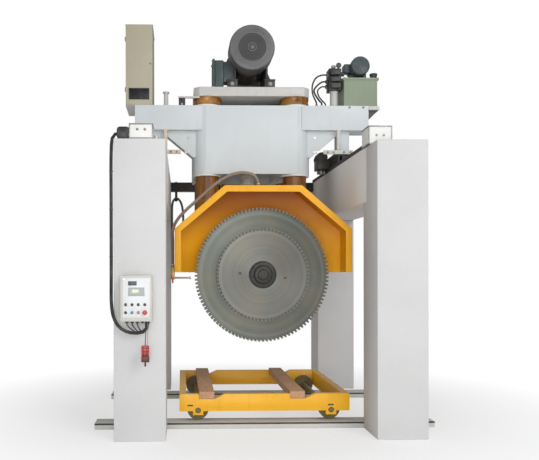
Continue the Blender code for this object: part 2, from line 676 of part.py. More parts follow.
def add_oil_hose() -> bpy.types.Object:
    """The hose that loops from the valve block down to its port on the arm."""
    start = VALVE_BLOCK_X - VALVE_BLOCK_WIDTH / 2 - VALVE_PORT_LENGTH - GAP
    foot = HOUSING_TOP + OIL_PORT_HEIGHT + GAP
    route = [(start, VALVE_BLOCK_Y, OIL_HOSE_TOP), (start - 0.04, VALVE_BLOCK_Y, OIL_HOSE_TOP),
             (start - 0.125, VALVE_BLOCK_Y - 0.015, OIL_HOSE_TOP - 0.065),
             (OIL_PORT_X - 0.102, OIL_PORT_Y + 0.02, HOUSING_TOP + 0.227),
             (OIL_PORT_X - 0.04, OIL_PORT_Y + 0.005, HOUSING_TOP + 0.107),
             (OIL_PORT_X, OIL_PORT_Y, foot + 0.035), (OIL_PORT_X, OIL_PORT_Y, foot)]
    return cord("oil_hose", route, OIL_HOSE_DIAMETER, "black_rubber", 0.03)


def open_box(name: str, x: tuple, y: tuple, z: tuple, wall: float, finish: str) -> bpy.types.Object:
    """A sheet box that is open towards the front."""
    shell = box(name, x, y, z, finish)
    inside = box("inside", (x[0] + wall, x[1] - wall), (y[0] - wall, y[1] - wall),
                 (z[0] + wall, z[1] - wall))
    return combine(shell, "DIFFERENCE", inside)


def add_cabinet() -> tuple:
    """The electric cabinet on the left arm, and its door at the front."""
    front = HOUSING_FRONT
    z = (BRIDGE_TOP, BRIDGE_TOP + CABINET_HEIGHT)
    shell = open_box("cabinet", CABINET_X, (front + CABINET_DOOR + GAP, front + CABINET_DEPTH), z,
                     CABINET_SHEET, "cabinet_paint")
    door = box("cabinet_door", CABINET_X, (front, front + CABINET_DOOR), (z[0] + GAP, z[1]),
               "cabinet_paint")
    return shell, door


# Head

def add_platform() -> bpy.types.Object:
    """The top plate that ties the columns together and carries the main motor."""
    side, front = PLATFORM_HALF_WIDTH, HOUSING_FRONT + 0.02
    cut = PLATFORM_CHAMFER
    outline = [(cut - side, front), (side - cut, front), (side, front + cut),
               (side, PLATE_REAR - cut), (side - cut, PLATE_REAR), (cut - side, PLATE_REAR),
               (-side, PLATE_REAR - cut), (-side, front + cut)]
    return prism("platform", outline, "Z", (PLATFORM_BOTTOM, PLATFORM_TOP), "pale_paint")


def add_columns() -> list:
    """Four columns between the platform and the spindle carriage."""
    made = []
    for side, x in (("left", -COLUMN_X), ("right", COLUMN_X)):
        for row, y in (("front", COLUMN_FRONT_Y), ("rear", COLUMN_REAR_Y)):
            profile = [(COLUMN_RADIUS, CARRIAGE_TOP + GAP), (COLUMN_RADIUS, PLATFORM_BOTTOM - GAP)]
            made.append(turned(f"column_{row}_{side}", profile, (x, y), "Z", "greased_steel"))
    return made


def add_carriage() -> bpy.types.Object:
    """The lower plate with the long bearing tube of the spindle."""
    side = PLATFORM_HALF_WIDTH
    carriage = box("spindle_carriage", (-side, side), (HOUSING_FRONT, PLATE_REAR),
                   (CARRIAGE_BOTTOM, CARRIAGE_TOP), "bridge_paint")
    front = SPINDLE_TUBE_FRONT
    flange, behind = SPINDLE_TUBE_RADIUS + TUBE_FLANGE_REACH, front + TUBE_FLANGE
    tube = turned("tube", [(flange, front), (flange, behind), (SPINDLE_TUBE_RADIUS, behind),
                           (SPINDLE_TUBE_RADIUS, PLATE_REAR)], (0.0, SPINDLE_Z), "Y")
    lap, high = 0.05, CARRIAGE_TOP - 0.01
    nose = prism("nose", [(behind, SPINDLE_Z), (HOUSING_FRONT + lap, SPINDLE_Z),
                          (HOUSING_FRONT + lap, high), (HOUSING_FRONT - lap, high),
                          (behind, SPINDLE_Z + SPINDLE_TUBE_RADIUS + 0.04)],
                 "X", (-NOSE_WIDTH / 2, NOSE_WIDTH / 2))
    bore = SHAFT_RADIUS + RUNNING
    hole = turned("hole", [(bore, front - SHEET), (bore, PLATE_REAR + SHEET)], (0.0, SPINDLE_Z), "Y",
                  segments=36)
    combine(carriage, "UNION", tube, nose)
    combine(carriage, "DIFFERENCE", hole)
    return carriage


def add_main_motor() -> bpy.types.Object:
    """The main motor with its feet, terminal box and fan cover, bored for its shaft."""
    end = MOTOR_REAR
    shaft_bore = MOTOR_SHAFT_RADIUS + RUNNING
    cover_end = MOTOR_FRONT + FAN_COVER_LENGTH
    flange, flange_front = MOTOR_RADIUS + MOTOR_FLANGE_REACH, end - MOTOR_FLANGE_INSET
    profile = [(FAN_COVER_RADIUS - 0.05, MOTOR_FRONT), (FAN_COVER_RADIUS, MOTOR_FRONT + 0.04),
               (FAN_COVER_RADIUS, cover_end), (MOTOR_RADIUS, cover_end), (MOTOR_RADIUS, flange_front),
               (flange, flange_front), (flange, flange_front + MOTOR_FLANGE),
               (MOTOR_RADIUS * 0.4, end), (shaft_bore, end), (shaft_bore, flange_front)]
    motor = turned("main_motor", profile, (0.0, MOTOR_Z), "Y", "motor_paint", 32)
    base = PLATFORM_TOP + GAP
    for sign in (-1, 1):
        half = MOTOR_FOOT_WIDTH / 2
        foot = box("foot", (sign * MOTOR_FOOT_X - half, sign * MOTOR_FOOT_X + half),
                   (cover_end - 0.03, flange_front - 0.02), (base, MOTOR_Z - MOTOR_RADIUS * 0.55))
        combine(motor, "UNION", foot)
    start = MOTOR_FRONT + TERMINALS_START
    terminals = box("terminals", (-TERMINALS_REACH, -MOTOR_RADIUS * 0.85),
                    (start, start + TERMINALS_LENGTH),
                    (base + TERMINALS_LIFT, MOTOR_Z - TERMINALS_DROP))
    combine(motor, "UNION", terminals)
    return motor


def belt_outline(motor_radius: float, spindle_radius: float, steps: int = 14) -> list:
    """The loop round two circles, as points from the motor's side round to the spindle's."""
    distance = MOTOR_Z - SPINDLE_Z
    lean = math.asin((spindle_radius - motor_radius) / distance)
    points = []
    for i in range(steps + 1):
        angle = lean + (math.pi - 2 * lean) * i / steps
        points.append((motor_radius * math.cos(angle), MOTOR_Z + motor_radius * math.sin(angle)))
    for i in range(2 * steps + 1):
        angle = math.pi - lean + (math.pi + 2 * lean) * i / (2 * steps)
        points.append((spindle_radius * math.cos(angle), SPINDLE_Z + spindle_radius * math.sin(angle)))
    return points


def add_belts() -> bpy.types.Object:
    """The belt set as one loop."""
    clear = 0.004
    thick = clear + BELT_THICKNESS
    inner = belt_outline(MOTOR_PULLEY_RADIUS + clear, SPINDLE_PULLEY_RADIUS + clear)
    outer = belt_outline(MOTOR_PULLEY_RADIUS + thick, SPINDLE_PULLEY_RADIUS + thick)
    front, rear = BELT_Y - BELT_WIDTH / 2, BELT_Y + BELT_WIDTH / 2
    rings = [[(x, y, z) for x, z in outline]
             for outline, y in ((inner, front), (outer, front), (outer, rear), (inner, rear))]
    return lofted("drive_belts", rings, "black_rubber", True)


def add_belt_guard() -> bpy.types.Object:
    """A deep sheet tray over the belts, open towards the machine."""
    reach = BELT_GUARD_CLEARANCE + BELT_THICKNESS
    outer = belt_outline(MOTOR_PULLEY_RADIUS + reach, SPINDLE_PULLEY_RADIUS + reach)
    inside = reach - SHEET
    inner = belt_outline(MOTOR_PULLEY_RADIUS + inside, SPINDLE_PULLEY_RADIUS + inside)
    front, rear = BELT_GUARD_FRONT, BELT_GUARD_FRONT + BELT_GUARD_DEPTH
    rings = [[(x, y, z) for x, z in outline]
             for outline, y in ((inner, rear - SHEET), (inner, front), (outer, front), (outer, rear))]
    return lofted("belt_guard", rings, "yellow_paint", False)


def guard_outline(inset: float, drop: float) -> list:
    """The guard's front outline, drawn in by an inset and reaching below its bottom edge by a drop."""
    slope = math.atan2(GUARD_TOP - GUARD_SHOULDER, GUARD_HALF_WIDTH - GUARD_TOP_HALF_WIDTH)
    side = GUARD_HALF_WIDTH - inset
    shoulder = GUARD_SHOULDER - inset * math.tan(slope / 2)
    top_x = GUARD_TOP_HALF_WIDTH - inset * math.tan(slope / 2)
    right = [(side, GUARD_BOTTOM - drop), (side, shoulder), (top_x, GUARD_TOP - inset)]
    return right + [(-x, z) for x, z in reversed(right)]


def add_blade_guard() -> bpy.types.Object:
    """The hood over the blades, open below and in front inside its lip."""
    rear = SPINDLE_TUBE_FRONT - GAP
    guard = prism("blade_guard", guard_outline(0.0, 0.0), "Y", (GUARD_FRONT, rear), "yellow_paint")
    hollow = prism("hollow", guard_outline(GUARD_WALL, GUARD_WALL), "Y",
                   (GUARD_FRONT + GUARD_WALL, rear - GUARD_WALL))
    mouth = prism("mouth", guard_outline(GUARD_LIP, GUARD_WALL), "Y",
                  (GUARD_FRONT - GUARD_WALL, GUARD_FRONT + 2 * GUARD_WALL))
    radius = SHAFT_RADIUS + 0.03
    hole = turned("hole", [(radius, rear - 2 * GUARD_WALL), (radius, rear + GUARD_WALL)],
                  (0.0, SPINDLE_Z), "Y")
    inlet = turned("inlet", [(INLET_RADIUS, GUARD_TOP - GUARD_WALL / 2),
                             (INLET_RADIUS, GUARD_TOP + INLET_HEIGHT)], (INLET_X, VALVE_Y), "Z", segments=16)
    combine(guard, "DIFFERENCE", hollow, mouth, hole)
    combine(guard, "UNION", inlet)
    return guard


def add_water_line() -> list:
    """The water hose over the guard, the valve beside it with its spray pipe, and the lever."""
    bottom = VALVE_TOP - VALVE_HEIGHT
    half = VALVE_SIZE / 2
    valve = box("water_valve", (VALVE_X - half, VALVE_X + half), (VALVE_Y - half, VALVE_Y + half),
                (bottom, VALVE_TOP), "brass")
    pipe_z = bottom + 0.02
    pipe = turned("pipe", [(SPRAY_RADIUS, VALVE_X), (SPRAY_RADIUS, -LARGE_BLADE_RADIUS - 0.05)],
                  (VALVE_Y, pipe_z), "X", segments=12)
    combine(valve, "UNION", pipe)
    axis_z = valve_axis_z()
    front = VALVE_Y - half - GAP
    eye, tip = 0.014, 0.009
    lever = prism("valve_lever", [(VALVE_X - eye, axis_z + eye), (VALVE_X + eye, axis_z + eye),
                                  (VALVE_X + tip, axis_z - LEVER_LENGTH),
                                  (VALVE_X - tip, axis_z - LEVER_LENGTH)],
                  "Y", (front - LEVER_THICKNESS, front), "red_plastic")
    x = VALVE_X
    y = VALVE_Y
    route = [(INLET_X, y, GUARD_TOP + INLET_HEIGHT + GAP), (INLET_X, y, GUARD_TOP + 0.066),
             (-0.078, y, 2.955), (-0.17, y, 2.985), (-0.27, y, 2.985), (-0.40, y, 2.945),
             (-0.55, y, 2.85), (-0.72, y, 2.70), (-0.90, y, 2.54), (-1.005, y, 2.425),
             (x + 0.001, y, 2.30), (x, y, 2.17), (x, y, 2.03), (x, y, VALVE_TOP + 0.05),
             (x, y, VALVE_TOP + GAP)]
    hose = cord("water_hose", route, WATER_HOSE_DIAMETER, "hose_rubber", 0.07)
    return [valve, hose, lever]


def valve_axis_z() -> float:
    """The lever turns below the guard's edge, so that it can swing in under it."""
    return GUARD_BOTTOM - 0.050


# Spindle

def blade(name: str, radius: float, teeth: int, teeth_per_sector: int, y: float,
          spacer_start: float) -> bpy.types.Object:
    """A toothed disc with the spacer ring that sets its distance to the piece behind it."""
    front, rear = y - BLADE_THICKNESS / 2, y + BLADE_THICKNESS / 2
    bore = SHAFT_RADIUS + 0.0015
    sectors = teeth // teeth_per_sector
    pitch = 2 * math.pi / teeth
    rim, hole, collar = [], [], []
    for tooth in range(teeth):
        for share, depth in ((0.0, 0.0), (0.74, 0.0), (0.87, TOOTH_DEPTH)):
            angle = (tooth + share) * pitch
            reach = radius - depth
            rim.append((reach * math.cos(angle), reach * math.sin(angle)))
    for sector in range(sectors):
        angle = sector * teeth_per_sector * pitch
        hole.append((bore * math.cos(angle), bore * math.sin(angle)))
        collar.append((SPACER_RADIUS * math.cos(angle), SPACER_RADIUS * math.sin(angle)))
    build = bmesh.new()
    rings = []
    for ring, place in ((hole, front), (rim, front), (rim, rear), (collar, rear),
                        (collar, spacer_start), (hole, spacer_start)):
        rings.append([build.verts.new((a, place, SPINDLE_Z + b)) for a, b in ring])
    step = 3 * teeth_per_sector
    for inner, outer in ((rings[0], rings[1]), (rings[3], rings[2])):
        for sector in range(sectors):
            arc = [outer[(sector * step + i) % len(outer)] for i in range(step + 1)]
            build.faces.new(arc + [inner[(sector + 1) % sectors], inner[sector]])
    for first, second in ((rings[1], rings[2]), (rings[3], rings[4]), (rings[4], rings[5]),
                          (rings[5], rings[0])):
        for i in range(len(first)):
            j = (i + 1) % len(first)
            build.faces.new((first[i], first[j], second[j], second[i]))
    return object_from(name, build, "blade_steel")


def add_spindle() -> list:
    """The shaft with its own flange, three stepped blades, the clamp flange and the driven pulley."""
    radius = SHAFT_RADIUS
    nose = CLAMP_FRONT - SHAFT_STUB
    pulley_front = BELT_Y - BELT_WIDTH / 2 - 0.005
    pulley_rear = BELT_Y + BELT_WIDTH / 2 + 0.005
    flange_rear = FLANGE_FRONT + 0.05
    stub = radius - 0.01
    shaft = turned("spindle_shaft", [(stub - 0.01, nose), (stub, nose + 0.01), (stub, CLAMP_FRONT),
                                     (radius, CLAMP_FRONT), (radius, FLANGE_FRONT),
                                     (SPACER_RADIUS, FLANGE_FRONT), (SPACER_RADIUS, flange_rear),
                                     (radius, flange_rear), (radius, pulley_rear)],
                   (0.0, SPINDLE_Z), "Y", "steel", 24)
    half = BLADE_THICKNESS / 2
    blades = [
        blade("large_blade_rear", LARGE_BLADE_RADIUS, LARGE_TEETH, 6, BLADE_REAR_Y,
              FLANGE_FRONT - GAP),
        blade("large_blade_front", LARGE_BLADE_RADIUS, LARGE_TEETH, 6, BLADE_FRONT_Y,
              BLADE_REAR_Y - half - GAP),
        blade("small_blade", SMALL_BLADE_RADIUS, SMALL_TEETH, 2, BLADE_SMALL_Y,
              BLADE_FRONT_Y - half - GAP),
    ]
    clamp_back = BLADE_SMALL_Y - half - GAP
    hole = radius + 0.0015
    nut_front = CLAMP_FRONT - NUT_THICKNESS
    clamp = turned("clamp_flange", [(hole, nut_front), (NUT_RADIUS, nut_front), (NUT_RADIUS, CLAMP_FRONT),
                                    (SPACER_RADIUS, CLAMP_FRONT), (SPACER_RADIUS, clamp_back),
                                    (hole, clamp_back)],
                   (0.0, SPINDLE_Z), "Y", "motor_paint", 24, True)
    outer, hub = SPINDLE_PULLEY_RADIUS, radius + 0.06
    pulley = turned("driven_pulley", [(hole, pulley_front), (hub, pulley_front), (hub, pulley_front + 0.05),
                                      (outer - 0.05, pulley_front + 0.05), (outer - 0.04, pulley_front),
                                      (outer, pulley_front), (outer, pulley_rear), (hole, pulley_rear)],
                    (0.0, SPINDLE_Z), "Y", "motor_paint", 36, True)
    return [shaft, *blades, clamp, pulley]


def add_motor_pulley() -> bpy.types.Object:
    """The main motor's shaft with its belt pulley."""
    front = BELT_Y - BELT_WIDTH / 2 - 0.005
    rear = BELT_Y + BELT_WIDTH / 2 + 0.005
    start = MOTOR_REAR - MOTOR_FLANGE_INSET + RUNNING
    return turned("motor_pulley", [(MOTOR_SHAFT_RADIUS, start), (MOTOR_SHAFT_RADIUS, front),
                                   (MOTOR_PULLEY_RADIUS, front), (MOTOR_PULLEY_RADIUS, rear)],
                  (0.0, MOTOR_Z), "Y", "motor_paint", 36)


# Controls

def add_control_box() -> list:
    """The control box on the pillar, its hinged lid, and the buttons in the lid."""
    half_x, half_z = CONTROL_WIDTH / 2, CONTROL_HEIGHT / 2
    x = (CONTROL_X - half_x, CONTROL_X + half_x)
    z = (CONTROL_Z - half_z, CONTROL_Z + half_z)
    shell = open_box("control_box", x, (CONTROL_FRONT, CONTROL_BACK), z, CONTROL_SHEET, "cabinet_paint")
    lid = box("control_lid", x, (LID_FRONT, CONTROL_FRONT - GAP), z, "cabinet_paint")
    stem_gap = 0.0006
    buttons = []
    kinds = {"start_button": (BUTTON_RADIUS, BUTTON_HEIGHT, "green_plastic"),
             "emergency_stop": (ESTOP_RADIUS, ESTOP_HEIGHT, "red_plastic")}
    for name, (radius, height, finish) in kinds.items():
        stem = radius * 0.45
        place = (BUTTON_X[name], BUTTON_Z)
        bore = stem + stem_gap
        hole = turned("hole", [(bore, LID_FRONT - SHEET), (bore, CONTROL_FRONT + SHEET)], place, "Y",
                      segments=20)
        combine(lid, "DIFFERENCE", hole)
        back = LID_FRONT - BUTTON_TRAVEL - GAP
        front = back + GAP - height
        buttons.append(turned(name, [(radius * 0.75, front), (radius, front + height * 0.25), (radius, back),
                                     (stem, back), (stem, CONTROL_FRONT - GAP)], place, "Y", finish, 20))
    return [shell, lid, *buttons]


def add_control_wiring() -> list:
    """The junction box on the pillar, the cable down the pillar, and the pendant on its cord."""
    left = -PILLAR_X + HALF_PILLAR - 0.385
    x = (left - JUNCTION_SIZE[0], left)
    y = (FRAME_FRONT + 0.02, FRAME_FRONT + 0.02 + JUNCTION_SIZE[1])
    z = (PILLAR_HEIGHT + GAP, PILLAR_HEIGHT + GAP + JUNCTION_SIZE[2])
    junction = box("junction_box", x, y, z, "black_plastic")
    bevel = junction.modifiers.new("bevel", "BEVEL")
    bevel.width = 0.03
    bevel.segments = 2
    bottom = CONTROL_Z - CONTROL_HEIGHT / 2 - GAP
    cable_y = CONTROL_BACK - CONTROL_DEPTH / 2
    face, top, gland = -PILLAR_X - HALF_PILLAR, PILLAR_HEIGHT, CONTROL_X + 0.111
    front = FRAME_FRONT
    route = [(x[0] - GAP, front + 0.10, top + 0.065), (x[0] - 0.020, front + 0.10, top + 0.065),
             (face - 0.022, front + 0.085, top + 0.01), (face - 0.028, front + 0.06, top - 0.10),
             (face - 0.028, front + 0.03, top - 0.30), (face - 0.026, front + 0.02, top - 0.70),
             (face - 0.026, front + 0.02, top - 1.10), (face - 0.026, front + 0.02, top - 1.40),
             (face - 0.025, front + 0.005, bottom + 0.338), (face - 0.020, front - 0.03, bottom + 0.198),
             (face, front - 0.065, bottom + 0.058), (face + 0.055, cable_y, bottom - 0.052),
             (gland - 0.215, cable_y, bottom - 0.114), (gland - 0.105, cable_y, bottom - 0.127),
             (gland - 0.030, cable_y, bottom - 0.107), (gland, cable_y, bottom - 0.057),
             (gland, cable_y, bottom)]
    cable = cord("control_cable", route, CABLE_DIAMETER, "black_rubber", 0.08)
    sizes = PENDANT_SIZE
    pendant_y = LID_FRONT + 0.03
    pendant = box("pendant", (PENDANT_X - sizes[0] / 2, PENDANT_X + sizes[0] / 2),
                  (pendant_y - sizes[1] / 2, pendant_y + sizes[1] / 2), (PENDANT_TOP - sizes[2], PENDANT_TOP),
                  "red_plastic")
    corner = pendant.modifiers.new("bevel", "BEVEL")
    corner.width = 0.010
    corner.segments = 2
    wire = cord("pendant_cord", [(PENDANT_X, pendant_y, bottom), (PENDANT_X, pendant_y, bottom - 0.04),
                                 (PENDANT_X + 0.005, pendant_y, (bottom + PENDANT_TOP) / 2),
                                 (PENDANT_X, pendant_y, PENDANT_TOP + 0.04),
                                 (PENDANT_X, pendant_y, PENDANT_TOP + GAP)],
                PENDANT_WIRE, "black_rubber", 0.03)
    return [junction, cable, pendant, wire]


# Cart

def add_cart_frame() -> bpy.types.Object:
    """The cart's ring frame with notches for the timbers and brackets for the axles."""
    half = CART_LENGTH / 2
    frame = box("cart_frame", (-half, half), (CART_FRONT, CART_REAR), (CART_BOTTOM, CART_TOP),
                "yellow_paint")
    bay = box("bay", (CART_RAIL - half, half - CART_RAIL), (CART_FRONT + CART_RAIL, CART_REAR - CART_RAIL),
              (CART_BOTTOM - SHEET, CART_TOP + SHEET))
    combine(frame, "DIFFERENCE", bay)
    for x in (-WHEEL_X, WHEEL_X):
        for y in (CART_FRONT, CART_REAR - CART_RAIL):
            bracket = box("bracket", (x - AXLE_BRACKET / 2, x + AXLE_BRACKET / 2), (y, y + CART_RAIL),
                          (WHEEL_Z - AXLE_RADIUS - 0.025, CART_BOTTOM + 0.02))
            combine(frame, "UNION", bracket)
    for x in (-WHEEL_X, WHEEL_X):
        loose = AXLE_RADIUS + RUNNING
        bore = turned("bore", [(loose, CART_FRONT - SHEET), (loose, CART_REAR + SHEET)], (x, WHEEL_Z), "Y",
                      segments=24)
        combine(frame, "DIFFERENCE", bore)
    bottom = TIMBER_TOP - TIMBER_HEIGHT - GAP
    for x in TIMBER_X:
        left, right = x - TIMBER_WIDTH / 2 - RUNNING, x + TIMBER_WIDTH / 2 + RUNNING
        notch = prism("notch", [(left, bottom), (right, bottom), (right + NOTCH_SLOPE, CART_TOP + SHEET),
                                (left, CART_TOP + SHEET)], "Y", (CART_FRONT - SHEET, CART_REAR + SHEET))
        combine(frame, "DIFFERENCE", notch)
    return frame


def add_wheelsets() -> list:
    """Two axles, each with a wheel on the front and the rear track."""
    made = []
    for side, x in (("left", -WHEEL_X), ("right", WHEEL_X)):
        front = CART_FRONT + CART_RAIL + WHEEL_CLEARANCE
        rear = CART_REAR - CART_RAIL - WHEEL_CLEARANCE - WHEEL_WIDTH
        hub = AXLE_RADIUS + 0.02
        profile = [(AXLE_RADIUS, CART_FRONT - 0.01)]
        for start in (front, rear):
            end = start + WHEEL_WIDTH
            profile += [(AXLE_RADIUS, start - 0.01), (hub, start - 0.01), (hub, start),
                        (WHEEL_RADIUS, start), (WHEEL_RADIUS, end), (hub, end),
                        (hub, end + 0.01), (AXLE_RADIUS, end + 0.01)]
        profile.append((AXLE_RADIUS, CART_REAR + 0.01))
        made.append(turned(f"wheelset_{side}", profile, (x, WHEEL_Z), "Y", "motor_paint", 20))
    return made


def add_timbers() -> list:
    """The timbers in the frame's notches, on which a block lies."""
    y = (CART_FRONT + 0.005, CART_REAR - 0.005)
    return [box(f"timber_{side}", (x - TIMBER_WIDTH / 2, x + TIMBER_WIDTH / 2), y,
                (TIMBER_TOP - TIMBER_HEIGHT, TIMBER_TOP), "timber")
            for side, x in zip(("left", "right"), TIMBER_X)]


def carry(parent: bpy.types.Object, name: str, place: tuple, pieces: list) -> bpy.types.Object:
    """An empty on a joint's axis that carries the pieces that move with it."""
    empty = bpy.data.objects.new(name, None)
    bpy.context.scene.collection.objects.link(empty)
    empty.location = place
    empty.parent = parent
    offset = Vector(place)
    above = parent
    while above is not None and above.parent is not None:
        offset = offset + above.location
        above = above.parent
    for piece in pieces:
        piece.parent = empty
        piece.location = -offset
    return empty


def main() -> None:
    """Builds every piece and hangs it on its joint."""
    for old in list(bpy.data.objects):
        bpy.data.objects.remove(old, do_unlink=True)
    for name, (colour, roughness, metallic) in COLOURS.items():
        MATERIALS[name] = material(name, colour, roughness, metallic)

    saw = bpy.data.objects.new("saw", None)
    bpy.context.scene.collection.objects.link(saw)
    saw.location = (0.0, FRAME_SHIFT_Y, 0.0)

    shell, lid, *buttons = add_control_box()
    carry(saw, "frame", (0.0, 0.0, 0.0),
          [*add_pillars(), *add_beams(), *add_rails(), shell, *add_control_wiring()])
    hinge = (CONTROL_X - CONTROL_WIDTH / 2, LID_FRONT, CONTROL_Z)
    lid_axis = carry(saw, "lid_hinge", hinge, [lid])
    for button in buttons:
        place = Vector((BUTTON_X[button.name], LID_FRONT, BUTTON_Z))
        carry(lid_axis, f"{button.name}_axis", tuple(place - Vector(hinge)), [button])

    gearbox, pinion = add_travel_drive()
    barrel, rod = add_lift_cylinder()
    cabinet, door = add_cabinet()
    bridge = carry(saw, "bridge_travel", (0.0, 0.0, RAIL_TOP),
                   [add_housing(), *add_arms(), *add_trucks(), gearbox, barrel, add_oil_tank(),
                    add_pump_motor(), add_valve_block(), add_oil_hose(), cabinet])
    carry(bridge, "pinion_axis", (PINION_X, PINION_Y, PILLAR_HEIGHT - RAIL_TOP), [pinion])
    carry(bridge, "door_hinge", (CABINET_X[0], HOUSING_FRONT, BRIDGE_TOP - RAIL_TOP), [door])

    valve, hose, lever = add_water_line()
    head = carry(bridge, "head_lift", (0.0, HEAD_MIDDLE_Y, 0.0),
                 [add_platform(), *add_columns(), add_carriage(), rod, add_main_motor(),
                  add_blade_guard(), add_belt_guard(), add_belts(), valve, hose])
    middle = -HEAD_MIDDLE_Y
    carry(head, "spindle_axis", (0.0, middle, SPINDLE_Z - RAIL_TOP), add_spindle())
    carry(head, "motor_axis", (0.0, middle, MOTOR_Z - RAIL_TOP), [add_motor_pulley()])
    carry(head, "lever_axis", (VALVE_X, middle + VALVE_Y, valve_axis_z() - RAIL_TOP), [lever])

    left, right = add_wheelsets()
    cart = carry(saw, "cart_travel", (0.0, 0.0, TRACK_HEIGHT), [add_cart_frame(), *add_timbers()])
    carry(cart, "wheel_axis_left", (-WHEEL_X, 0.0, WHEEL_Z - TRACK_HEIGHT), [left])
    carry(cart, "wheel_axis_right", (WHEEL_X, 0.0, WHEEL_Z - TRACK_HEIGHT), [right])


if __name__ == "__main__":
    main()
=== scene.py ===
"""Looks of a four-column masonry saw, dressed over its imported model.

Every length is in metres, +X right, +Y to the back, +Z up.
"""
import json
import logging
import math
from dataclasses import dataclass
from enum import Enum
from typing import Dict, Iterable, List, Optional, Sequence, Tuple

import bpy
from mathutils import Matrix, Vector

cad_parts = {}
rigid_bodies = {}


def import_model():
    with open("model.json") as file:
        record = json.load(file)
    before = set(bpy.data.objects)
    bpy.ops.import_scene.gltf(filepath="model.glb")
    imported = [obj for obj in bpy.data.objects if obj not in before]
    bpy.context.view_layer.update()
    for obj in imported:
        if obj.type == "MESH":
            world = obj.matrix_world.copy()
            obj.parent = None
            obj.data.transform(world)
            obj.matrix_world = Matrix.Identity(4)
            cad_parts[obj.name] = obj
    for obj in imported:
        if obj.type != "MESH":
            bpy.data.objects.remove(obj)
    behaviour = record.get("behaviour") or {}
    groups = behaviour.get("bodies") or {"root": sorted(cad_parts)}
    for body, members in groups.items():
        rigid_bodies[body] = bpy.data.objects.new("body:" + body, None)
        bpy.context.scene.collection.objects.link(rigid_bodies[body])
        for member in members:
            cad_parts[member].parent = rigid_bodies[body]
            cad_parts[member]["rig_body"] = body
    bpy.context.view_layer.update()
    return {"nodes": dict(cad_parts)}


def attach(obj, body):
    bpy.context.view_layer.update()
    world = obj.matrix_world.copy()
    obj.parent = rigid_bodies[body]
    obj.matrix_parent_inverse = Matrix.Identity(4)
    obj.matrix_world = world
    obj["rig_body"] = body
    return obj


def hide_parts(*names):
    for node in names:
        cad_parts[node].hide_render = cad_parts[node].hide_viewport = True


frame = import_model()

LOG = logging.getLogger("masonry_saw")
Point = Tuple[float, float, float]
Colour = Tuple[float, float, float]
Piece = bpy.types.Object

# Sizes that sub-assemblies share, in the layout that is centred on the pillars
LAYOUT_SHIFT_Y = 0.1073
PILLAR_TOP = 3.20
RAIL_X = 1.26
BRIDGE_FRONT = 0.13
HOUSING_TOP = 4.043
COLUMN_X = 0.605
COLUMN_Y = (0.33, 1.05)
COLUMN_RADIUS = 0.16
BLADE_Y = -0.83
SPINDLE_Z = 1.757
SIDES = (("left", -1), ("right", 1))


class Axis(Enum):
    """The way a round piece points."""

    X = (0.0, math.pi / 2, 0.0)
    Y = (math.pi / 2, 0.0, 0.0)
    Z = (0.0, 0.0, 0.0)


class Body(Enum):
    """The moving groups of the saw."""

    FRAME = "root"
    LID = "control_lid"
    START = "start_button"
    ESTOP = "emergency_stop"
    BRIDGE = "bridge"
    DOOR = "cabinet_door"
    PINION = "travel_pinion"
    HEAD = "head"
    LEVER = "valve_lever"
    SPINDLE = "spindle"
    ROTOR = "motor_rotor"
    CART = "cart"
    WHEELS_LEFT = "wheelset_left"
    WHEELS_RIGHT = "wheelset_right"


# Finishes

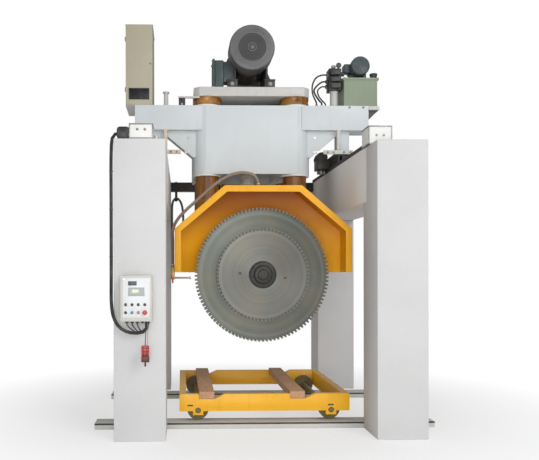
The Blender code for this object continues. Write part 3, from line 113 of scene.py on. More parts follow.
class NodeSheet:
    """A material's node tree with short calls for the nodes that the finishes share."""

    def __init__(self, name: str) -> None:
        """Starts a material with an empty sheet and a Principled shader."""
        self.material = bpy.data.materials.new(name)
        self.material.use_nodes = True
        self.tree = self.material.node_tree
        self.shader = self.tree.nodes["Principled BSDF"]
        self.coordinates = self.node("TexCoord").outputs["Object"]

    def node(self, kind: str, **settings) -> bpy.types.Node:
        """Adds a node and sets its properties and sockets.

        Args:
            kind: the node's type name without its ShaderNode prefix.
            settings: properties by name, and sockets by name with spaces as underscores.

        Returns:
            The new node.
        """
        made = self.tree.nodes.new("ShaderNode" + kind)
        for key, value in settings.items():
            if hasattr(made, key):
                setattr(made, key, value)
                continue
            self.plug(value, made.inputs[key.replace("_", " ")])
        return made

    def plug(self, value, socket: bpy.types.NodeSocket) -> None:
        """Gives a socket its link, its number or its colour."""
        if isinstance(value, bpy.types.NodeSocket):
            self.tree.links.new(value, socket)
        elif socket.type == "RGBA" and len(value) == 3:
            socket.default_value = (*value, 1.0)
        else:
            socket.default_value = value

    def stretched(self, scale: Point) -> bpy.types.NodeSocket:
        """The object's coordinates, scaled along each axis."""
        return self.node("Mapping", Vector=self.coordinates, Scale=scale).outputs[0]

    def noise(self, scale: float, detail: float = 3.0, vector: Optional[bpy.types.NodeSocket] = None,
              rough: float = 0.5) -> bpy.types.NodeSocket:
        """A noise value between 0 and 1."""
        made = self.node("TexNoise", Vector=vector or self.coordinates, Scale=scale, Detail=detail,
                         Roughness=rough)
        return made.outputs["Fac"]

    def spread(self, value: bpy.types.NodeSocket, low: float, high: float,
               to_low: float = 0.0, to_high: float = 1.0) -> bpy.types.NodeSocket:
        """Maps a value's band to another band and clamps it."""
        made = self.node("MapRange", clamp=True, Value=value, From_Min=low, From_Max=high,
                         To_Min=to_low, To_Max=to_high)
        return made.outputs["Result"]

    def blend(self, amount: bpy.types.NodeSocket, first, second) -> bpy.types.NodeSocket:
        """Mixes two colours, each a socket or a colour."""
        made = self.node("Mix", data_type="RGBA")
        for index, value in ((0, amount), (6, first), (7, second)):
            self.plug(value, made.inputs[index])
        return made.outputs[2]

    def math(self, operation: str, first, second=0.0) -> bpy.types.NodeSocket:
        """A sum of two numbers or sockets."""
        made = self.node("Math", operation=operation)
        for socket, value in zip(made.inputs, (first, second)):
            self.plug(value, socket)
        return made.outputs[0]

    def product(self, first, second) -> bpy.types.NodeSocket:
        """One number or socket times another."""
        return self.math("MULTIPLY", first, second)

    def distance(self, first, second) -> bpy.types.NodeSocket:
        """How far a point lies from the origin, from its two coordinates."""
        return self.math("SQRT", self.math("ADD", self.product(first, first), self.product(second, second)))

    def upward(self, low: float, high: float, *to: float) -> bpy.types.NodeSocket:
        """How far a face looks up, spread over a band."""
        normal = self.node("NewGeometry").outputs["Normal"]
        return self.spread(self.node("SeparateXYZ", Vector=normal).outputs["Z"], low, high, *to)

    def bump(self, height: bpy.types.NodeSocket, strength: float, distance: float) -> None:
        """Roughens the shading by a height value."""
        made = self.node("Bump", Height=height, Strength=strength, Distance=distance)
        self.tree.links.new(made.outputs[0], self.shader.inputs["Normal"])

    def finish(self, colour, roughness, metallic: float = 0.0) -> bpy.types.Material:
        """Sets the shader's main sockets and returns the material."""
        for name, value in (("Base Color", colour), ("Roughness", roughness), ("Metallic", metallic)):
            self.plug(value, self.shader.inputs[name])
        return self.material


@dataclass(frozen=True)
class Enamel:
    """Sprayed enamel on steel: a fine orange peel, faded patches, drip streaks and dust on flat tops."""

    name: str
    colour: Colour
    stain: Colour
    stain_share: float = 0.35
    roughness: float = 0.42
    dust: Colour = (0.55, 0.53, 0.49)
    dust_share: float = 0.35

    def build(self) -> bpy.types.Material:
        """Builds the material."""
        sheet = NodeSheet(self.name)
        patches = sheet.spread(sheet.noise(1.7, 5.0), 0.42, 0.72)
        streaks = sheet.spread(sheet.noise(1.0, 6.0, sheet.stretched((14.0, 14.0, 1.1)), 0.6), 0.50, 0.78)
        specks = sheet.spread(sheet.noise(60.0, 4.0), 0.62, 0.74)
        worn = sheet.math("MAXIMUM", sheet.product(patches, 0.55), streaks)
        worn = sheet.math("MAXIMUM", worn, sheet.product(specks, 0.8))
        colour = sheet.blend(sheet.product(worn, self.stain_share), self.colour, self.stain)
        settled = sheet.product(sheet.upward(0.6, 0.98), sheet.spread(sheet.noise(3.0, 6.0), 0.3, 0.7))
        colour = sheet.blend(sheet.product(settled, self.dust_share), colour, self.dust)
        rough = sheet.spread(sheet.noise(9.0, 4.0), 0.3, 0.7, self.roughness - 0.08, self.roughness + 0.14)
        sheet.bump(sheet.noise(140.0, 2.0), 0.12, 0.002)
        return sheet.finish(colour, rough)


@dataclass(frozen=True)
class HoodPaint:
    """The hood's yellow enamel, painted lighter inside as painted light, with red-brown painted shade and
    slurry high up inside.
    """

    name: str
    colour: Colour
    # inner is a lighter, more saturated copy of the yellow: painted light inside the hood, where shade falls
    inner: Colour
    # the slurry colour stands for slurry and for painted shade high up inside
    slurry: Colour
    mouth: float = -1.0
    back: float = -0.445
    shade_heights: Tuple[float, float] = (2.10, 2.78)

    def build(self) -> bpy.types.Material:
        """Builds the material."""
        sheet = NodeSheet(self.name)
        parts = sheet.node("SeparateXYZ", Vector=sheet.coordinates)
        inside = sheet.product(sheet.spread(parts.outputs["Y"], self.mouth, self.mouth + 0.03),
                            sheet.spread(parts.outputs["Y"], self.back - 0.004, self.back, 1.0, 0.0))
        inside = sheet.product(inside, sheet.upward(0.10, 0.30, 1.0, 0.0))
        # High up inside, the yellow darkens to red-brown: painted shade mixed with slurry.
        painted_shade_high_inside = sheet.product(inside, sheet.spread(parts.outputs["Z"], *self.shade_heights))
        splash = sheet.spread(sheet.noise(4.0, 8.0, sheet.stretched((1.0, 1.0, 0.4)), 0.65), 0.52, 0.70)
        streaks = sheet.spread(sheet.noise(1.0, 6.0, sheet.stretched((22.0, 22.0, 1.3)), 0.6), 0.52, 0.80)
        dirt_and_shade = sheet.math("MAXIMUM", sheet.product(painted_shade_high_inside, 0.9), sheet.product(splash, 0.16))
        dirt_and_shade = sheet.math("MAXIMUM", dirt_and_shade, sheet.product(streaks, 0.22))
        # Inside, the lighter inner yellow is painted light, and the red-brown is slurry with painted shade.
        colour = sheet.blend(dirt_and_shade, sheet.blend(inside, self.colour, self.inner), self.slurry)
        rough = sheet.spread(sheet.noise(8.0, 4.0), 0.3, 0.7, 0.36, 0.55)
        sheet.bump(sheet.noise(120.0, 2.0), 0.12, 0.002)
        sheet.shader.inputs["Specular IOR Level"].default_value = 0.25
        return sheet.finish(colour, rough)


@dataclass(frozen=True)
class Concrete:
    """Cast concrete: fine aggregate speckle, soft blotches, and pores darkened with painted shade."""

    name: str
    colour: Colour
    dark: Colour

    def build(self) -> bpy.types.Material:
        """Builds the material."""
        sheet = NodeSheet(self.name)
        speckle = sheet.spread(sheet.noise(150.0, 6.0, None, 0.75), 0.36, 0.66)
        blotches = sheet.spread(sheet.noise(1.6, 5.0), 0.35, 0.75)
        pores = sheet.node("TexVoronoi", Vector=sheet.coordinates, Scale=34.0).outputs["Distance"]
        painted_shade_holes = sheet.spread(pores, 0.05, 0.16, 1.0, 0.0)
        colour = sheet.blend(sheet.product(speckle, 0.30), self.colour, self.dark)
        colour = sheet.blend(sheet.product(blotches, 0.22), colour, self.dark)
        # The pores are darkened to near-black: painted shade inside them.
        colour = sheet.blend(sheet.product(painted_shade_holes, 0.30), colour, (0.22, 0.22, 0.21))
        height = sheet.math("SUBTRACT", sheet.noise(70.0, 6.0, None, 0.7), sheet.product(painted_shade_holes, 1.2))
        sheet.bump(height, 0.35, 0.004)
        return sheet.finish(colour, 0.90)


@dataclass(frozen=True)
class BareSteel:
    """Machined steel with tool marks along one direction and a film of oil or rust."""

    name: str
    colour: Colour
    film: Colour
    film_share: float = 0.3
    grain: Point = (1.0, 60.0, 60.0)
    roughness: float = 0.30
    metallic: float = 1.0

    def build(self) -> bpy.types.Material:
        """Builds the material."""
        sheet = NodeSheet(self.name)
        marks = sheet.noise(6.0, 3.0, sheet.stretched(self.grain))
        film = sheet.spread(sheet.noise(5.0, 7.0, None, 0.62), 0.42, 0.68)
        colour = sheet.blend(sheet.product(film, self.film_share), self.colour, self.film)
        colour = sheet.blend(sheet.spread(marks, 0.35, 0.65, 0.0, 0.18), colour, (0.08, 0.08, 0.08))
        rough = sheet.spread(film, 0.0, 1.0, self.roughness, self.roughness + 0.22)
        sheet.bump(marks, 0.10, 0.001)
        return sheet.finish(colour, rough, self.metallic)


@dataclass(frozen=True)
class GreasedColumn:
    """A ground column under streaked amber grease."""

    name: str

    def build(self) -> bpy.types.Material:
        """Builds the material."""
        sheet = NodeSheet(self.name)
        runs = sheet.noise(1.0, 6.0, sheet.stretched((16.0, 16.0, 1.6)), 0.62)
        smears = sheet.noise(2.4, 6.0, sheet.stretched((1.0, 1.0, 2.2)))
        colour = sheet.blend(sheet.spread(runs, 0.32, 0.66), (0.38, 0.145, 0.016), (0.12, 0.042, 0.006))
        colour = sheet.blend(sheet.spread(smears, 0.56, 0.74, 0.0, 0.7), colour, (0.58, 0.30, 0.07))
        rough = sheet.spread(runs, 0.3, 0.7, 0.28, 0.50)
        sheet.bump(runs, 0.45, 0.004)
        sheet.shader.inputs["Coat Weight"].default_value = 0.15
        sheet.shader.inputs["Coat Roughness"].default_value = 0.20
        return sheet.finish(colour, rough, 0.05)


@dataclass(frozen=True)
class GroundDisc:
    """A disc ground round its axis, with a lighter rim and slurry stains."""

    name: str
    centre: Point
    colour: Colour
    rim_colour: Colour
    rim_start: float
    rim_end: float

    def build(self) -> bpy.types.Material:
        """Builds the material."""
        sheet = NodeSheet(self.name)
        offset = sheet.node("VectorMath", operation="SUBTRACT")
        sheet.tree.links.new(sheet.coordinates, offset.inputs[0])
        offset.inputs[1].default_value = self.centre
        parts = sheet.node("SeparateXYZ", Vector=offset.outputs[0])
        x, z = parts.outputs["X"], parts.outputs["Z"]
        radius = sheet.distance(x, z)
        along = sheet.node("CombineXYZ", X=radius).outputs[0]
        rings = sheet.noise(90.0, 3.0, along)
        wide = sheet.noise(9.0, 3.0, along)
        stains = sheet.spread(sheet.noise(3.2, 7.0, None, 0.62), 0.40, 0.72)
        colour = sheet.blend(sheet.spread(rings, 0.35, 0.65, 0.0, 0.25), self.colour, (0.07, 0.075, 0.07))
        colour = sheet.blend(sheet.spread(wide, 0.45, 0.65, 0.0, 0.18), colour, (0.20, 0.21, 0.19))
        colour = sheet.blend(sheet.product(stains, 0.45), colour, (0.20, 0.165, 0.115))
        rim = sheet.product(sheet.spread(radius, self.rim_start, self.rim_start + 0.004),
                         sheet.spread(radius, self.rim_end, self.rim_end + 0.004, 1.0, 0.0))
        colour = sheet.blend(sheet.product(rim, 0.45), colour, self.rim_colour)
        rough = sheet.spread(rings, 0.3, 0.7, 0.38, 0.56)
        sheet.bump(rings, 0.08, 0.001)
        tangent = sheet.node("Tangent", direction_type="RADIAL", axis="Y")
        sheet.tree.links.new(tangent.outputs[0], sheet.shader.inputs["Tangent"])
        sheet.shader.inputs["Anisotropic"].default_value = 0.65
        return sheet.finish(colour, rough, 0.85)


@dataclass(frozen=True)
class Moulded:
    """Moulded plastic or rubber with a fine grain and a little dust."""

    name: str
    colour: Colour
    roughness: float = 0.45
    grain: float = 260.0
    dust_share: float = 0.25

    def build(self) -> bpy.types.Material:
        """Builds the material."""
        sheet = NodeSheet(self.name)
        dust = sheet.spread(sheet.noise(7.0, 7.0, None, 0.65), 0.45, 0.75)
        colour = sheet.blend(sheet.product(dust, self.dust_share), self.colour, (0.36, 0.34, 0.31))
        rough = sheet.spread(dust, 0.0, 1.0, self.roughness, min(1.0, self.roughness + 0.25))
        sheet.bump(sheet.noise(self.grain, 2.0), 0.18, 0.001)
        return sheet.finish(colour, rough)


@dataclass(frozen=True)
class SawnTimber:
    """Rough-sawn timber with grain along its length."""

    name: str

    def build(self) -> bpy.types.Material:
        """Builds the material."""
        sheet = NodeSheet(self.name)
        grain = sheet.noise(3.0, 6.0, sheet.stretched((26.0, 1.4, 26.0)), 0.6)
        saw = sheet.noise(30.0, 2.0, sheet.stretched((1.0, 6.0, 1.0)))
        colour = sheet.blend(sheet.spread(grain, 0.32, 0.68), (0.64, 0.39, 0.22), (0.42, 0.22, 0.11))
        colour = sheet.blend(sheet.spread(saw, 0.55, 0.75, 0.0, 0.3), colour, (0.66, 0.48, 0.33))
        sheet.bump(grain, 0.5, 0.004)
        return sheet.finish(colour, 0.85)


@dataclass(frozen=True)
class Screen:
    """A small display: pale green glass over faint generic bars."""

    name: str

    def build(self) -> bpy.types.Material:
        """Builds the material."""
        sheet = NodeSheet(self.name)
        bars = sheet.node("TexBrick", Vector=sheet.stretched((30.0, 30.0, 30.0)), Scale=2.0)
        glow = sheet.spread(sheet.noise(40.0, 2.0), 0.3, 0.7)
        colour = sheet.blend(glow, (0.44, 0.53, 0.38), (0.52, 0.60, 0.44))
        lines = sheet.spread(bars.outputs["Fac"], 0.4, 0.6, 0.0, 0.35)
        colour = sheet.blend(lines, colour, (0.22, 0.28, 0.20))
        sheet.shader.inputs["Coat Weight"].default_value = 0.8
        return sheet.finish(colour, 0.15)


class Finishes:
    """Every finish of the saw, built once and given out by name."""

    def __init__(self, spindle: Point) -> None:
        """Lists the finishes; the discs are ground round the spindle."""
        kinds = [
            Concrete("pillar_concrete", (0.70, 0.70, 0.70), (0.46, 0.46, 0.46)),
            # The beams take a lighter copy of the pillars' concrete: painted light offsetting the shade on
            # their inner faces.
            Concrete("beam_concrete_painted_light", (0.82, 0.82, 0.82), (0.58, 0.58, 0.58)),
            Concrete("track_concrete", (0.64, 0.64, 0.61), (0.46, 0.46, 0.44)),
            Enamel("bridge_enamel", (0.670, 0.725, 0.750), (0.50, 0.52, 0.52), 0.30),
            Enamel("pale_enamel", (0.61, 0.60, 0.575), (0.42, 0.39, 0.34), 0.30),
            Enamel("white_enamel", (0.82, 0.82, 0.80), (0.60, 0.59, 0.55), 0.25),
            Enamel("beige_bracket_enamel", (0.72, 0.62, 0.50), (0.50, 0.40, 0.28), 0.3),
            Enamel("cart_yellow", (0.93, 0.48, 0.012), (0.58, 0.26, 0.02), 0.32),
            Enamel("tank_green", (0.26, 0.32, 0.225), (0.20, 0.24, 0.17), 0.35),
            Enamel("cabinet_beige", (0.46, 0.42, 0.315), (0.34, 0.30, 0.22), 0.25),
            # The cabinet body takes a greener copy of the door's pebble-grey paint: painted shade on its side.
            Enamel("cabinet_green_painted_shade", (0.38, 0.43, 0.30), (0.27, 0.31, 0.21), 0.25),
            Enamel("panel_white", (0.76, 0.78, 0.80), (0.62, 0.62, 0.60), 0.20, 0.35),
            Enamel("motor_grey", (0.045, 0.045, 0.047), (0.10, 0.09, 0.08), 0.40, 0.42),
            Enamel("pump_teal", (0.045, 0.070, 0.073), (0.12, 0.12, 0.11), 0.35, 0.38),
            Enamel("cabinet_pale", (0.62, 0.60, 0.53), (0.48, 0.45, 0.37), 0.25),
            Enamel("dark_enamel", (0.035, 0.033, 0.030), (0.10, 0.085, 0.07), 0.45, 0.45),
            Enamel("wheel_olive", (0.15, 0.125, 0.050), (0.26, 0.20, 0.06), 0.5, 0.5),
            # The hood's inner yellow is painted light inside it; its red-brown is slurry with painted shade
            # high up inside.
            HoodPaint("hood_yellow", (0.87, 0.42, 0.022), (1.0, 0.47, 0.004), (0.46, 0.105, 0.020)),
            BareSteel("bright_steel", (0.62, 0.63, 0.63), (0.40, 0.33, 0.24), 0.25),
            BareSteel("rail_steel", (0.56, 0.56, 0.55), (0.32, 0.24, 0.16), 0.35, (60.0, 1.0, 60.0)),
            BareSteel("dull_steel", (0.34, 0.34, 0.33), (0.22, 0.16, 0.11), 0.45, (40.0, 40.0, 3.0), 0.42),
            BareSteel("chromed_rod", (0.80, 0.80, 0.80), (0.60, 0.52, 0.40), 0.15, (40.0, 40.0, 1.0), 0.10),
            BareSteel("dull_brass", (0.55, 0.40, 0.16), (0.28, 0.22, 0.12), 0.45, (30.0, 30.0, 30.0), 0.35),
            BareSteel("spindle_flange", (0.017, 0.017, 0.012), (0.034, 0.029, 0.018), 0.5, (30.0, 1.0, 30.0),
                      0.42, 0.15),
            BareSteel("fan_cover_steel", (0.15, 0.15, 0.155), (0.24, 0.24, 0.25), 0.6, (3.0, 3.0, 3.0),
                      0.46, 0.35),
            GreasedColumn("greased_column"),
            # The large blades take a darker, greener copy of the ground steel: painted shade behind the small
            # blade.
            GroundDisc("large_disc_painted_shade", spindle, (0.115, 0.127, 0.110), (0.19, 0.20, 0.195), 0.710, 0.742),
            GroundDisc("small_disc", spindle, (0.150, 0.153, 0.140), (0.20, 0.20, 0.19), 0.480, 0.514),
            BareSteel("cutting_segment", (0.225, 0.225, 0.195), (0.18, 0.14, 0.09), 0.5, (90.0, 90.0, 90.0),
                      0.60, 0.4),
            Moulded("black_rubber", (0.018, 0.018, 0.018), 0.62, 120.0),
            Moulded("grey_hose", (0.20, 0.20, 0.21), 0.55, 120.0),
            Moulded("hose_rubber", (0.235, 0.200, 0.165), 0.60, 120.0),
            Moulded("black_plastic", (0.022, 0.022, 0.024), 0.42),
            Moulded("grey_plastic", (0.44, 0.45, 0.45), 0.45),
            Moulded("red_plastic", (0.52, 0.022, 0.020), 0.30, 300.0, 0.10),
            Moulded("rose_plastic", (0.42, 0.18, 0.16), 0.32, 300.0, 0.10),
            Moulded("maroon_plastic", (0.10, 0.014, 0.012), 0.40, 200.0, 0.15),
            Moulded("green_plastic", (0.018, 0.26, 0.19), 0.30, 300.0, 0.10),
            SawnTimber("sawn_timber"),
            Screen("display"),
        ]
        self.materials: Dict[str, bpy.types.Material] = {kind.name: kind.build() for kind in kinds}

    def __getitem__(self, name: str) -> bpy.types.Material:
        """The material of that name."""
        return self.materials[name]


# Modelling

def clear_selection() -> None:
    """Leaves edit mode and selects nothing."""
    if bpy.context.object and bpy.context.object.mode != "OBJECT":
        bpy.ops.object.mode_set(mode="OBJECT")
    bpy.ops.object.select_all(action="DESELECT")


def make_active(piece: Piece) -> None:
    """Selects one piece alone."""
    clear_selection()
    piece.select_set(True)
    bpy.context.view_layer.objects.active = piece


def apply_modifier(piece: Piece, kind: str, **settings) -> None:
    """Adds a modifier and applies it.

    Args:
        piece: the piece to shape.
        kind: the modifier's type.
        settings: the modifier's properties.
    """
    make_active(piece)
    modifier = piece.modifiers.new(kind.lower(), kind)
    for key, value in settings.items():
        setattr(modifier, key, value)
    bpy.ops.object.modifier_apply(modifier=modifier.name)


def settle(piece: Piece, name: str, finish: bpy.types.Material, smooth: float = 35.0) -> Piece:
    """Puts a piece's place into its mesh, names it, smooths its round faces and gives it its finish."""
    make_active(piece)
    bpy.ops.object.transform_apply(location=True, rotation=True, scale=True)
    bpy.ops.object.shade_smooth_by_angle(angle=math.radians(smooth))
    piece.name = name
    piece.data.name = name
    piece.data.materials.clear()
    piece.data.materials.append(finish)
    return piece


def rounded(piece: Piece, width: float, segments: int = 2, angle: float = 30.0) -> Piece:
    """Rounds the sharp edges of a piece."""
    apply_modifier(piece, "BEVEL", width=width, segments=segments, limit_method="ANGLE",
                   angle_limit=math.radians(angle), harden_normals=False)
    return piece


def close_shape(piece: Piece, edge: float) -> None:
    """Leaves edit mode with every face looking outwards, and rounds the edges."""
    bpy.ops.mesh.select_all(action="SELECT")
    bpy.ops.mesh.normals_make_consistent(inside=False)
    bpy.ops.object.mode_set(mode="OBJECT")
    if edge:
        rounded(piece, edge)


def block(name: str, low: Sequence[float], high: Sequence[float], finish: bpy.types.Material,
          edge: float = 0.004, segments: int = 2) -> Piece:
    """A block between two corners with rounded edges."""
    clear_selection()
    centre = [(a + b) / 2 for a, b in zip(low, high)]
    size = [abs(b - a) for a, b in zip(low, high)]
    bpy.ops.mesh.primitive_cube_add(size=1.0, location=centre, scale=size)
    piece = bpy.context.object
    bpy.ops.object.transform_apply(location=True, rotation=True, scale=True)
    rounded(piece, min(edge, 0.45 * min(size)), segments)
    return settle(piece, name, finish)


def turned(name: str, steps: Sequence[Tuple[float, float]], foot: Point, axis: Axis,
           finish: bpy.types.Material, edge: float = 0.0, vertices: int = 48) -> Piece:
    """A solid of revolution, extruded ring by ring.

    Args:
        name: the piece's name.
        steps: pairs of radius and height above the foot, from the first ring to the last.
        foot: the point on the axis that the heights start from.
        axis: the way the heights run; along Y they run towards the front.
        finish: the piece's material.
        edge: the width of its rounded edges.
        vertices: how many sides a ring has.

    Returns:
        The piece.
    """
    clear_selection()
    radius, height = steps[0]
    bpy.ops.mesh.primitive_circle_add(vertices=vertices, radius=radius, fill_type="NGON",
                                      location=(0.0, 0.0, height))
    piece = bpy.context.object
    bpy.ops.object.transform_apply(location=True)
    bpy.ops.object.mode_set(mode="EDIT")
    bpy.ops.mesh.select_all(action="SELECT")
    for next_radius, next_height in steps[1:]:
        bpy.ops.mesh.extrude_region_move(TRANSFORM_OT_translate={"value": (0.0, 0.0, next_height - height)})
        share = next_radius / radius
        bpy.ops.transform.resize(value=(share, share, 1.0), center_override=(0.0, 0.0, next_height))
        radius, height = next_radius, next_height
    close_shape(piece, edge)
    piece.rotation_euler = axis.value
    piece.location = foot
    return settle(piece, name, finish)


def ring(name: str, inner: float, outer: float, foot: Point, depth: float, axis: Axis,
         finish: bpy.types.Material, edge: float = 0.002, vertices: int = 64) -> Piece:
    """A flat ring with a bore."""
    clear_selection()
    bpy.ops.mesh.primitive_circle_add(vertices=vertices, radius=outer, fill_type="NGON")
    piece = bpy.context.object
    bpy.ops.object.mode_set(mode="EDIT")
    bpy.ops.mesh.select_all(action="SELECT")
    bpy.ops.mesh.inset(thickness=outer - inner, depth=0.0)
    bpy.ops.mesh.delete(type="FACE")
    bpy.ops.mesh.select_all(action="SELECT")
    bpy.ops.mesh.extrude_region_move(TRANSFORM_OT_translate={"value": (0.0, 0.0, depth)})
    close_shape(piece, edge)
    piece.rotation_euler = axis.value
    piece.location = foot
    return settle(piece, name, finish)


def plate(name: str, outline: Sequence[Tuple[float, float]], start: float, end: float,
          finish: bpy.types.Material, edge: float = 0.002) -> Piece:
    """An upright plate: an outline of (x, z) with a thickness from one y to another."""
    clear_selection()
    bpy.ops.mesh.primitive_circle_add(vertices=len(outline), radius=1.0, fill_type="NGON")
    piece = bpy.context.object
    for vertex, (x, z) in zip(piece.data.vertices, outline):
        vertex.co = (x, start, z)
    bpy.ops.object.mode_set(mode="EDIT")
    bpy.ops.mesh.select_all(action="SELECT")
    bpy.ops.mesh.extrude_region_move(TRANSFORM_OT_translate={"value": (0.0, end - start, 0.0)})
    close_shape(piece, edge)
    return settle(piece, name, finish)


def copied(piece: Piece, name: str, offset: Sequence[float], turn: Optional[Matrix] = None) -> Piece:
    """A copy with its own mesh, turned about the world's origin and then moved."""
    twin = piece.copy()
    twin.data = piece.data.copy()
    twin.name = name
    bpy.context.scene.collection.objects.link(twin)
    twin.data.transform(Matrix.Translation(Vector(offset)) @ (turn or Matrix.Identity(4)))
    return twin


def repeated(model: Piece, places: Iterable[Sequence[float]]) -> List[Piece]:
    """Copies of a model, one moved to each place; the model itself goes."""
    copies = [copied(model, f"{model.name}_{i}", place) for i, place in enumerate(places)]
    bpy.data.objects.remove(model)
    return copies


def around(model: Piece, centre: Sequence[float], angles: Iterable[float], axis: str = "Y") -> List[Piece]:
    """Copies of a model, each turned by an angle and moved to the centre; the model itself goes."""
    copies = [copied(model, f"{model.name}_{i}", centre, Matrix.Rotation(angle, 4, axis))
              for i, angle in enumerate(angles)]
    bpy.data.objects.remove(model)
    return copies


def full_turn(count: int, start: float = 0.0) -> List[float]:
    """The angles of evenly spaced spokes, the first one set off by a share of a step."""
    return [2 * math.pi * (i + start) / count for i in range(count)]


def circle(count: int, radius: float, centre: Tuple[float, float],
           start: float = 0.0) -> List[Tuple[float, float]]:
    """Evenly spaced points on a circle."""
    return [(centre[0] + radius * math.cos(a), centre[1] + radius * math.sin(a))
            for a in full_turn(count, start)]


def joined(name: str, pieces: Iterable[Piece]) -> Piece:
    """Joins pieces of one finish into one object."""
    pieces = list(pieces)
    clear_selection()
    for piece in pieces:
        piece.select_set(True)
    bpy.context.view_layer.objects.active = pieces[0]
    if len(pieces) > 1:
        bpy.ops.object.join()
    pieces[0].name = name
    pieces[0].data.name = name
    return pieces[0]


def bolts(name: str, places: Sequence[Point], axis: Axis, size: float, finish: bpy.types.Material,
          towards: float = 1.0) -> Piece:
    """Hexagon bolts with washers on a face, one copy at each place.

    Args:
        name: the group's name.
        places: points on the face.
        axis: the way the bolts point.
        size: the width of a head across its corners.
        finish: their material.
        towards: 1 along the axis as a turned piece runs, -1 the other way.

    Returns:
        The group as one piece.
    """
    head = turned("head", [(size * 0.48, size * 0.12), (size * 0.50, size * 0.18), (size * 0.50, size * 0.40),
                           (size * 0.42, size * 0.46)], (0.0, 0.0, 0.0), axis, finish, 0.0, 6)
    washer = turned("washer", [(size * 0.66, 0.0), (size * 0.66, size * 0.12)], (0.0, 0.0, 0.0), axis,
                    finish, 0.0, 16)
    model = joined("bolt", [head, washer])
    if towards < 0:
        model.data.transform(Matrix.Rotation(math.pi, 4, "X" if axis is not Axis.X else "Z"))
    return joined(name, repeated(model, places))


def refined(node: str, finish: bpy.types.Material, edge: float = 0.003, smooth: float = 35.0) -> Piece:
    """A closed copy of a node's mesh with rounded edges and smooth round faces, shown in its place."""
    source = frame["nodes"][node]
    piece = source.copy()
    piece.data = source.data.copy()
    for key in list(piece.keys()):
        del piece[key]
    piece.parent = None
    piece.matrix_world = Matrix.Identity(4)
    bpy.context.scene.collection.objects.link(piece)
    make_active(piece)
    bpy.ops.object.mode_set(mode="EDIT")
    bpy.ops.mesh.select_all(action="SELECT")
    bpy.ops.mesh.remove_doubles(threshold=0.00005)
    bpy.ops.mesh.dissolve_limited(angle_limit=math.radians(0.5))
    bpy.ops.object.mode_set(mode="OBJECT")
    if piece.data.has_custom_normals:
        bpy.ops.mesh.customdata_custom_splitnormals_clear()
    if edge:
        rounded(piece, edge, 2, 32.0)
    settle(piece, f"{node}_surface", finish, smooth)
    place(piece, body_of(node), node)
    return piece


def body_of(node: str) -> Body:
    """The moving group that a node belongs to."""
    return Body(frame["nodes"][node]["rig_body"])


def place(piece: Piece, body: Body, *nodes: str) -> Piece:
    """Lets a piece ride on a group, and shows it in place of nodes."""
    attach(piece, body.value)
    if nodes:
        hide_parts(*nodes)
    LOG.info("%s rides on %s%s", piece.name, body.value, f" for {', '.join(nodes)}" if nodes else "")
    return piece


# Cords

def layout_shift() -> Vector:
    """From the pillars' own middle to the middle of the whole saw, in which the model stands."""
    return Vector((0.0, LAYOUT_SHIFT_Y, 0.0))


def smooth_points(route: Sequence[Point], spacing: float, lead: float = 0.02) -> List[Vector]:
    """Evenly spaced points along a Catmull-Rom curve with straight ends."""
    knots = [Vector(point) for point in route]
    first, last = (knots[1] - knots[0]).normalized(), (knots[-2] - knots[-1]).normalized()
    ends = [2 * knots[0] - knots[1], *knots, 2 * knots[-1] - knots[-2]]
    fine: List[Vector] = []
    for before, start, end, after in zip(ends, ends[1:], ends[2:], ends[3:]):
        for step in range(24):
            t = step / 24
            square, cube = 2 * before - 5 * start + 4 * end - after, 3 * start - before - 3 * end + after
            fine.append(0.5 * (2 * start + (end - before) * t + square * t * t + cube * t ** 3))
    fine.append(knots[-1])
    total = sum((b - a).length for a, b in zip(fine, fine[1:]))
    count = max(3, round(total / spacing))
    points, walked, target = [knots[0], knots[0] + first * lead], 0.0, spacing + lead
    for a, b in zip(fine, fine[1:]):
        walked += (b - a).length
        if walked >= target and walked < total - lead - spacing * 0.6:
            points.append(b)
            target += (total - 2 * lead) / count
    return points + [knots[-1] + last * lead, knots[-1]]


@dataclass
class Cord:
    """A hose or cable along given points."""

    name: str
    route: Sequence[Point]
    diameter: float
    finish: str
    body: Body
    nodes: Tuple[str, ...] = ()
    stiffness: str = "medium"
    lay: str = "hanging"
    far_end: str = "object"
    spacing: float = 0.05

    def build(self, finishes: Finishes, with_pieces: Sequence[Piece] = ()) -> Piece:
        """Args:
            finishes: the saw's finishes.
            with_pieces: not used.

        Returns:
            The curve.
        """
        shift = layout_shift()
        points = [point + shift for point in smooth_points(self.route, self.spacing)]
        curve = bpy.data.curves.new(self.name, "CURVE")
        curve.dimensions = "3D"
        curve.bevel_depth = self.diameter / 2
        curve.bevel_resolution = 4
        curve.use_fill_caps = True
        spline = curve.splines.new("POLY")
        spline.points.add(len(points) - 1)
        for target, point in zip(spline.points, points):
            target.co = (*point, 1.0)
        spline.use_smooth = True
        curve.materials.append(finishes[self.finish])
        piece = bpy.data.objects.new(self.name, curve)
        bpy.context.scene.collection.objects.link(piece)
        place(piece, self.body, *self.nodes)
        return piece


@dataclass
class SubAssembly:
    """Pieces of one moving group, with sizes in the layout centred on the pillars."""

    finishes: Finishes
    body: Body

    def fit(self, piece: Piece, *nodes: str, body: Optional[Body] = None, slot: str = "") -> Piece:
        """Moves a new piece from the layout into the model's frame and lets it ride.

        Args:
            piece: the new piece.
            nodes: the nodes that it stands for.
            body: its group, if not the sub-assembly's own.
            slot: not used.

        Returns:
            The piece.
        """
        piece.data.transform(Matrix.Translation(layout_shift()))
        return place(piece, body or self.body, *nodes)

    def bolt(self, name: str, places: Sequence[Point], axis: Axis, size: float, finish: str = "dull_steel",
             towards: float = 1.0) -> None:
        """Fits a group of bolts, as bolts() makes them."""
        self.fit(bolts(name, places, axis, size, self.finishes[finish], towards))

    def dress(self, finish: str, edge: float, *nodes: str) -> None:
        """Shows nodes as refined copies in one finish."""
        for node in nodes:
            refined(node, self.finishes[finish], edge)


